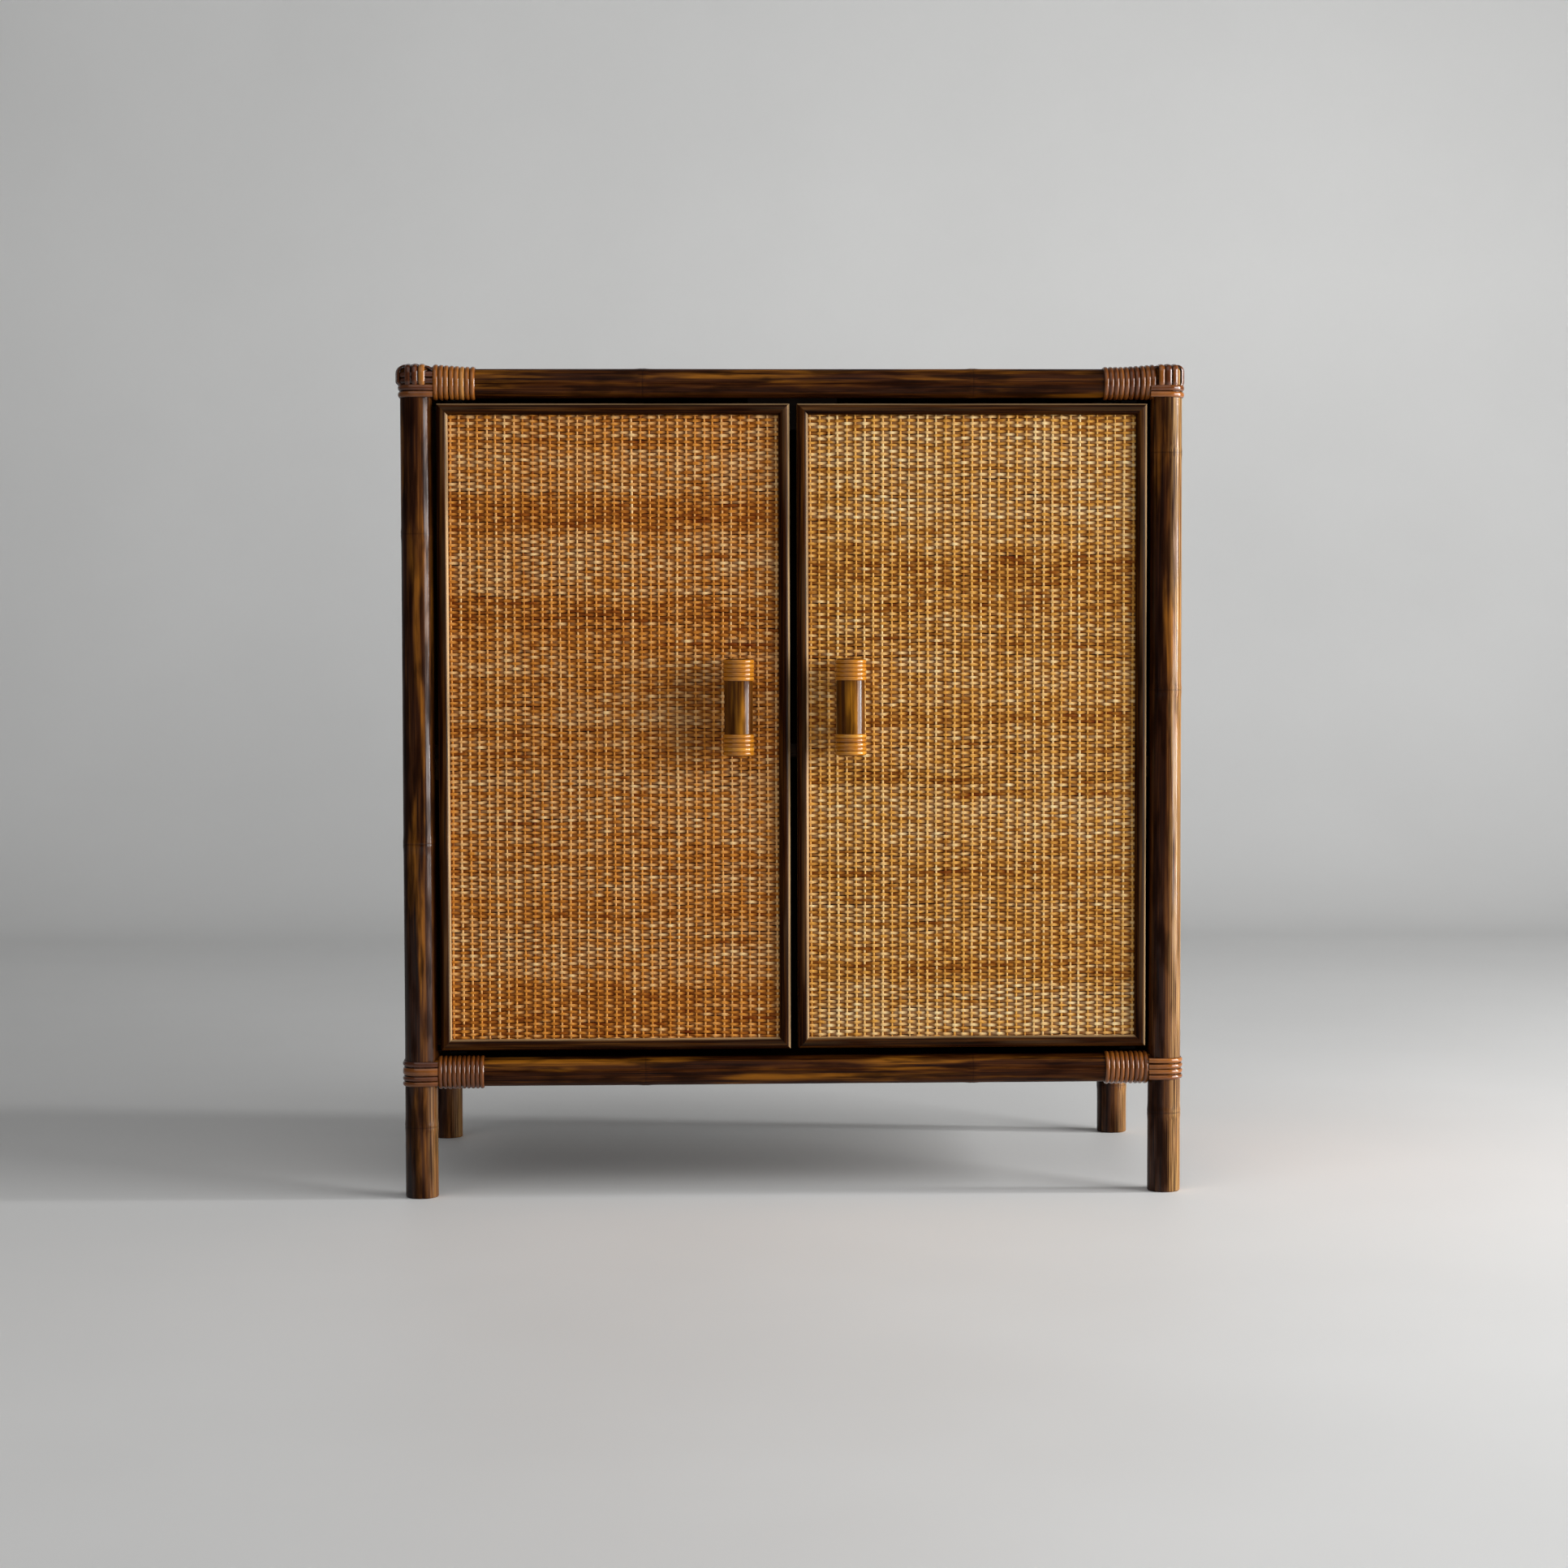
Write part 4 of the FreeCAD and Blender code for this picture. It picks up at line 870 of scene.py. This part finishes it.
def cap_skin(number, width, tone, low, lid, radius, raised, way, draw):
    """Skin of a strap over the post's end: up the outside of the post, round its edge and across the
    top, where a cosine lifts it over one crossing strap and under the next. Towards the rail it lies
    flat on the level straps, and behind the post it settles on the rail's round back."""
    offset = number * STRAP_PITCH
    lean = math.asin(min(offset, 0) / radius)
    bend = POST_TOP_ROUND + raised
    stand = (radius + raised) * math.cos(lean)
    rise = np.linspace(low - CAP_TUCK, lid - bend, RISE_STEPS)
    sunk = (raised + 0.5 * STRIP_THICKNESS) * (1 - eased((rise - rise[0]) / (2 * CAP_TUCK)))
    turn = np.linspace(0, math.pi / 2, EDGE_STEPS)[1:]
    lid_run = np.linspace(bend - stand, STRAP_LEG, LID_STEPS)[1:]
    lift = way * CAP_LIFT * (1 - 2 * (number % 2)) * np.cos(math.pi * lid_run / STRAP_PITCH)
    lift = lift * eased((lid_run + stand - bend) / CAP_BLEND) * eased((STRAP_LEG - lid_run) / CAP_BLEND)
    rail_back = rail_height["top"] + math.sqrt(rail_radius ** 2 - offset ** 2)
    settle = eased((lid_run / STRAP_LEG - SETTLED_FROM) / (1 - SETTLED_FROM))
    back = np.concatenate([sunk - stand, bend * (1 - np.cos(turn)) - stand, lid_run])
    up = np.concatenate([rise, lid - bend + bend * np.sin(turn), lid + lift - settle * (lid - rail_back)])
    fold = np.concatenate([rise * 0, turn, lid_run * 0 + math.pi / 2])
    path = np.stack([np.full_like(back, offset), back, up], axis=1)
    outward = np.stack([np.cos(fold) * math.sin(lean), -np.cos(fold) * math.cos(lean), np.sin(fold)],
                       axis=1)
    flat = lean * np.cos(fold)
    across = np.stack([np.cos(flat), np.sin(flat), 0 * flat], axis=1)
    roll = math.asin(offset / rail_radius) * np.concatenate([rise * 0, turn * 0, settle])[:, None]
    outward = np.cos(roll) * outward + np.sin(roll) * (1, 0, 0)
    across = np.cos(roll) * across - np.sin(roll) * (0, 0, 1)
    return strip_skin(path, outward, across, width, tone, draw)


def swapped(skin):
    """The same skin with its two level axes changed over, for the rail that runs the other way."""
    return skin[0][..., [1, 0, 2]], *skin[1:]


def binding_finish(name, plum, chestnut, honey, pale):
    """Varnished cane strip: its tone picks a shade from plum to honey, fine fibres run along it, and
    its colour is darker in the seams at its edges."""
    material, tree, shader = new_material(name, Specular_IOR_Level=0.05, Coat_Weight=1.0,
                                          Coat_Roughness=0.1)
    grain = grain_in(tree, across=2600.0, along=30.0)
    shade = weighed(tree, (attribute(tree, "tone"), 1.0), (grain["Streak"], 0.5), (grain["Patch"], 0.3))
    colour = ramp(tree, sum_of(tree, shade, 0.4, "SUBTRACT"),
                  ((0.08, plum), (0.42, chestnut), (0.8, honey), (1.0, pale)))
    seam = stretched(tree, attribute(tree, "crest"), 0.06, 0.66)
    colour = mixed(tree, seam, plum, colour)
    roughness = stretched(tree, grain["Streak"], 0.3, 0.7, 0.22, 0.4)
    normal = bumped(tree, grain["Fibre"], strength=0.3, depth=0.15 * MM)
    feed(tree, shader, Base_Color=colour, Roughness=roughness, Normal=normal)
    return material


binding_cane = binding_finish("binding_cane", (0.016, 0.0034, 0.001, 1), (0.112, 0.028, 0.006, 1),
                              (0.35, 0.113, 0.016, 1), (0.66, 0.29, 0.065, 1))
for level, height in rail_height.items():
    for number, corner in enumerate(CORNERS):
        label = level + "_" + corner
        side = corner.split("_")[1]
        draw = np.random.default_rng(100 + 10 * number + len(level))
        start, turns, pitch = WOUND[level + "_" + side]
        wound_tone = WOUND_TONE.get(label, REAR_WOUND_TONE)
        skins = [wound_skin(rail_radius, start, pitch, pitch, turns, wound_tone, draw, HEAP[level])
                 for _ in range(2)]
        skins[1] = swapped(skins[1])
        skins = [(skin[0] + np.array([0, 0, height]), *skin[1:]) for skin in skins]
        straps = LEVEL_STRAPS[label]
        stack = sum(strap[0] + STRAP_GAP for strap in straps) * MM
        place = height - (rail_radius if level == "top" else stack / 2)
        for strap_width, tone in straps:
            radius = post_radius_at(place) + BINDING_SEAT
            skins.append(level_skin(place + strap_width * MM / 2, radius, strap_width * MM, tone, draw))
            place += (strap_width + STRAP_GAP) * MM
        if level == "top":
            raised = STRIP_THICKNESS if len(straps) > 2 else CAP_CLEAR
            lid = post_height + CAP_LIFT + CAP_REST
            low = height - rail_radius + CAP_FOOT
            radius = post_radius_at(low) + BINDING_SEAT
            for way in (1, -1):
                for strap_number, strap_width, tone in CAP_STRAPS[side]:
                    skin = cap_skin(strap_number, strap_width * MM, tone, low, lid, radius, raised, way,
                                    draw)
                    skins.append(skin if way > 0 else swapped(skin))
        inward = np.array([-np.sign(post_axis[corner][0]), 1 if "front" in corner else -1, 1])
        skins = [(skin[0] * inward + post_axis[corner], *skin[1:]) for skin in skins]
        piece = make_piece("cane_binding_" + label, skins, binding_cane, sharp_degrees=70)
        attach(piece, "carcass")
        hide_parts("binding_" + label)

# Hinge brackets, pins, bushes, screws and magnets
# Bent plates of blackened steel, screwed to the side boards, carry the blackened pins, and brass bushes
# in the door edges turn on them. Their near-black colour is partly painted shade, to keep them dark in
# the gaps. Screws and strike plates are bright steel, and two round magnets sit in the catch block.


def metal_finish(name, dark, pale, metallic, smooth, rough):
    """Metal with faint cloudy wear: noise mixes two shades and moves the roughness between two values."""
    material, tree, shader = new_material(name, Metallic=metallic, Specular_IOR_Level=0.02)
    place = shader_node(tree, "ShaderNodeTexCoord").outputs["Object"]
    grain = grain_in(tree, across=400.0, along=400.0, vector=place)
    colour = ramp(tree, grain["Streak"], ((0.32, dark), (0.68, pale)))
    roughness = stretched(tree, grain["Streak"], 0.3, 0.7, smooth, rough)
    normal = bumped(tree, grain["Fibre"], strength=0.12, depth=0.05 * MM)
    feed(tree, shader, Base_Color=colour, Roughness=roughness, Normal=normal)
    return material


# Almost black, darker than blackened steel: partly painted shade that keeps the brackets and pins dark in
# the gaps.
black_steel = metal_finish("black_steel", (0.001, 0.001, 0.001, 1), (0.003, 0.0027, 0.0025, 1),
                           metallic=0.0, smooth=0.6, rough=0.8)
steel = metal_finish("steel", (0.44, 0.43, 0.42, 1), (0.56, 0.55, 0.53, 1),
                     metallic=1.0, smooth=0.28, rough=0.42)
brass = metal_finish("brass", (0.52, 0.33, 0.11, 1), (0.72, 0.5, 0.2, 1),
                     metallic=1.0, smooth=0.25, rough=0.4)
magnet = metal_finish("magnet", (0.3, 0.3, 0.31, 1), (0.46, 0.46, 0.47, 1),
                      metallic=1.0, smooth=0.18, rough=0.32)
FITTINGS = {
    "pivot_brackets_left": black_steel, "pivot_brackets_right": black_steel, "pivot_pins": black_steel,
    "bracket_screws": steel, "cleat_screws": steel, "catch_screws": steel, "catch_magnets": magnet,
    "handle_screws_left": steel, "handle_screws_right": steel, "strike_plate_left": steel,
    "strike_plate_right": steel, "pivot_bushes_left": brass, "pivot_bushes_right": brass,
}
for node, metal in FITTINGS.items():
    cad_nodes[node].material_slots[0].material = metal

# Door panels
# Each door is a board faced with the woven cane and framed by four mitred mouldings. The cane of the
# left door is warmer and browner, that of the right door paler and more golden; the right door's
# paler colour is partly painted light, as more light falls on it from the right.
DOOR_CANE = {
    "left": cane_finish("woven_cane_left", CANE_HOLLOW_SHADE, (0.33, 0.09, 0.006, 1), (0.75, 0.29, 0.04, 1),
                        (0.98, 0.66, 0.3, 1), CANE_GLOSS),
    # Paler partly as painted light: more light falls on the right door.
    "right": cane_finish("woven_cane_right", CANE_HOLLOW_SHADE, (0.37, 0.13, 0.012, 1), (0.8, 0.39, 0.07, 1),
                         (0.99, 0.75, 0.38, 1), CANE_GLOSS),
}
# The broad last streak of each door, with a negative depth, is painted light: it makes the lower part of
# the door paler, where more light falls.
DOOR_STREAKS = {
    "left": (
        (159, 459, 150, 5, -0.35), (246, 443, 75, 3, 0.4), (264, 475, 45, 2.5, 0.3), (72, 402, 70, 3, 0.35),
        (231, 362, 80, 2.5, 0.35), (72, 291, 60, 2.5, 0.3), (157, 193, 160, 2.2, 0.4),
        (260, 96, 25, 2.5, 0.45), (72, 71, 60, 3, -0.2), (157, 90, 400, 150, -0.1),
    ),
    "right": (
        (194, 440, 12, 2.5, 0.8), (257, 442, 16, 2, 0.45), (223, 377, 25, 2.5, 0.4),
        (238, 365, 60, 2, 0.35), (268, 300, 28, 2, 0.55), (223, 230, 75, 1.8, 0.7), (150, 225, 12, 2, 0.7),
        (54, 253, 25, 3, 0.35), (142, 71, 60, 2, 0.4), (179, 45, 130, 30, -0.15), (157, 90, 400, 150, -0.1),
    ),
}
for number, side in enumerate(("left", "right")):
    body = side + "_door"
    node = "door_woven_sheet_" + side
    low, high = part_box(node)
    axes = ((1, 0, 0), (0, 0, 1), (0, -1, 0))
    size = (high.x - low.x, high.z - low.z)
    woven_panel("door_" + side, node, body, (low.x, high.y, low.z), axes, size, pressed=True,
                streaks=DOOR_STREAKS[side], cane=DOOR_CANE[side], seed=200 + number)
    skins = moulding_skins((low.x, low.y, low.z), *axes, *size, seed=220 + 9 * number)
    piece = make_piece("framed_door_mouldings_" + side, skins, moulding_wood, sharp_degrees=40)
    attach(piece, body)
    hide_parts("door_mouldings_" + side)

# Handles
# A short piece of amber rattan pole on each door, bound at both ends with honey-coloured cane. Two
# small pegs keep it clear of the weave, and screws from behind the door hold it.
GRIP_END_ROUND = 2.5 * MM
GRIP_ROUND_STEPS = 6
GRIP_RINGS = 30
HANDLE_TURNS = 5
HANDLE_PITCH = 3.8 * MM
HANDLE_STRIP_WIDTH = 3.74 * MM
HANDLE_STRIP_THICKNESS = 1.3 * MM
HANDLE_TONE = 0.75
handle_pole = pole_finish("handle_pole", (0.045, 0.0115, 0.0006, 1), (0.11, 0.034, 0.0016, 1),
                          (0.24, 0.084, 0.005, 1), (0.52, 0.205, 0.012, 1), (0.4, 0.17, 0.03, 1),
                          amber_from=0.54, coat=0.26)
handle_cane = binding_finish("handle_cane", (0.27, 0.082, 0.004, 1), (0.32, 0.1, 0.006, 1),
                             (0.56, 0.21, 0.013, 1), (0.78, 0.38, 0.05, 1))
peg_wood = plain_wood_finish("peg_wood", (0.02, 0.008, 0.003, 1), (0.06, 0.025, 0.009, 1), FRONT_TO_BACK)
for number, side in enumerate(("left", "right")):
    body = side + "_door"
    low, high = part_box("handle_grip_" + side)
    grip_radius = (high.x - low.x) / 2
    length = high.z - low.z
    axis = np.array([(low.x + high.x) / 2, (low.y + high.y) / 2, low.z])
    bend = (1 - np.cos(np.linspace(0, math.pi / 2, GRIP_ROUND_STEPS))) * GRIP_END_ROUND
    places = np.concatenate([np.linspace(0, length, GRIP_RINGS), bend, length - bend])
    places = np.unique(places.round(6))[:, None]
    radius = grip_radius - rounded_end(places, GRIP_END_ROUND)
    radius = radius - rounded_end(length - places, GRIP_END_ROUND)
    skin = pole_skin(axis, (0, 0, 1), places, radius, (), 0, seed=240 + number)
    piece = make_piece("pole_handle_grip_" + side, [skin], handle_pole)
    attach(piece, body)
    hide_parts("handle_grip_" + side)
    wound_low, wound_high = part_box("handle_bindings_" + side)
    draw = np.random.default_rng(250 + number)
    skins = []
    for end, way in ((wound_low.z, 1), (wound_high.z, -1)):
        skin = wound_skin(grip_radius, 0, HANDLE_PITCH, HANDLE_STRIP_WIDTH, HANDLE_TURNS, HANDLE_TONE,
                          draw, thickness=HANDLE_STRIP_THICKNESS)
        lengthwise, behind, beside = np.moveaxis(skin[0], -1, 0)
        stood = np.stack([axis[0] + beside, axis[1] + behind, end + way * lengthwise], axis=-1)
        skins.append((stood, *skin[1:]))
    piece = make_piece("cane_handle_bindings_" + side, skins, handle_cane, sharp_degrees=70)
    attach(piece, body)
    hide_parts("handle_bindings_" + side)
    cad_nodes["handle_spacers_" + side].material_slots[0].material = peg_wood

# Floor and backdrop
# One plain pale sheet of paper that lies flat under the object and sweeps up behind it. To the camera
# and in mirrored rays it is paler than in the light it throws back on the object.
SHEET_HALF_WIDTH = 7.0
SHEET_FRONT = -6.0
SHEET_BACK = 2.2
SHEET_BEND = 1.2
SHEET_TOP = 5.0
SHEET_BEND_STEPS = 24
bend = np.linspace(0, math.pi / 2, SHEET_BEND_STEPS)
profile = np.concatenate([
    [[SHEET_FRONT, 0]],
    np.stack([SHEET_BACK + SHEET_BEND * np.sin(bend), SHEET_BEND * (1 - np.cos(bend))], axis=1),
    [[SHEET_BACK + SHEET_BEND, SHEET_TOP]],
])
edges = np.array([-SHEET_HALF_WIDTH, SHEET_HALF_WIDTH])
points = np.stack([np.repeat(edges, len(profile)), *np.tile(profile, (2, 1)).T], axis=1)
index = np.arange(len(points)).reshape(2, -1)
faces = np.stack([index[0, :-1], index[1, :-1], index[1, 1:], index[0, 1:]], axis=1)
mesh = bpy.data.meshes.new("floor_sheet")
mesh.from_pydata(points, [], faces.tolist())
mesh.shade_smooth()
paper, tree, shader = new_material("floor_paper")
place = shader_node(tree, "ShaderNodeTexCoord").outputs["Object"]
cloud = shader_node(tree, "ShaderNodeTexNoise", {"Vector": place, "Scale": 1.5, "Detail": 4.0}).outputs[0]
lit = ramp(tree, cloud, ((0.3, (0.53, 0.53, 0.52, 1)), (0.7, (0.58, 0.58, 0.57, 1))))
seen = ramp(tree, cloud, ((0.3, (0.8, 0.8, 0.79, 1)), (0.7, (0.85, 0.85, 0.84, 1))))
rays = shader_node(tree, "ShaderNodeLightPath").outputs
direct = sum_of(tree, rays["Is Camera Ray"], rays["Is Glossy Ray"], "MAXIMUM")
direct = sum_of(tree, direct, rays["Is Transmission Ray"], "MAXIMUM")
feed(tree, shader, Base_Color=mixed(tree, direct, lit, seen),
     Roughness=stretched(tree, cloud, 0.3, 0.7, 0.55, 0.65))
mesh.materials.append(paper)
floor = bpy.data.objects.new("floor_sheet", mesh)
bpy.context.scene.collection.objects.link(floor)

# Light
# A broad soft lamp from the right makes the weave stand out, a narrow one beside it gives the poles
# their bright edge, and a larger, weak lamp from the front and a dim surround fill the shadows. A lamp
# is (azimuth, elevation, distance, width, height, power).
LAMPS = {
    "key": (67, 8, 3.2, 2.0, 2.0, 122),
    "edge": (85, 9, 3.2, 0.25, 2.0, 60),
    "fill": (-12, 48, 3.6, 4.4, 4.4, 40),
}
TARGET = np.array([0, 0, 0.4])
SURROUND_COLOUR = (0.95, 0.97, 1.0, 1)
SURROUND_STRENGTH = 0.1
for name, (azimuth, elevation, distance, width, height, power) in LAMPS.items():
    turn, lift = math.radians(azimuth), math.radians(elevation)
    away = np.array([math.sin(turn) * math.cos(lift), -math.cos(turn) * math.cos(lift), math.sin(lift)])
    light = bpy.data.lights.new(name + "_lamp", "AREA")
    light.shape = "RECTANGLE"
    light.size, light.size_y, light.energy = width, height, power
    lamp = bpy.data.objects.new(name + "_lamp", light)
    lamp.location = TARGET + away * distance
    lamp.rotation_euler = (math.pi / 2 - lift, 0, turn)
    bpy.context.scene.collection.objects.link(lamp)
world = bpy.data.worlds.new("surround")
world.use_nodes = True
surround = next(node for node in world.node_tree.nodes if node.type == "BACKGROUND")
surround.inputs["Color"].default_value = SURROUND_COLOUR
surround.inputs["Strength"].default_value = SURROUND_STRENGTH
bpy.context.scene.world = world

# Camera
# It stands three metres in front, a little left of the middle and below the top, and looks slightly
# down and to the right.
CAMERA_PLACE = (-113.87 * MM, -3023.4 * MM, 513.4 * MM)
CAMERA_YAW, CAMERA_PITCH, CAMERA_ROLL = (math.radians(angle) for angle in (2.11, 2.838, 0.144))
CAMERA_LENS = 73.2
CAMERA_SENSOR = 36.0
camera_data = bpy.data.cameras.new("camera")
camera_data.lens = CAMERA_LENS
camera_data.sensor_width = CAMERA_SENSOR
camera = bpy.data.objects.new("camera", camera_data)
camera.location = CAMERA_PLACE
camera.rotation_mode = "XYZ"
camera.rotation_euler = (math.pi / 2 - CAMERA_PITCH, CAMERA_ROLL, -CAMERA_YAW)
bpy.context.scene.collection.objects.link(camera)
bpy.context.scene.camera = camera
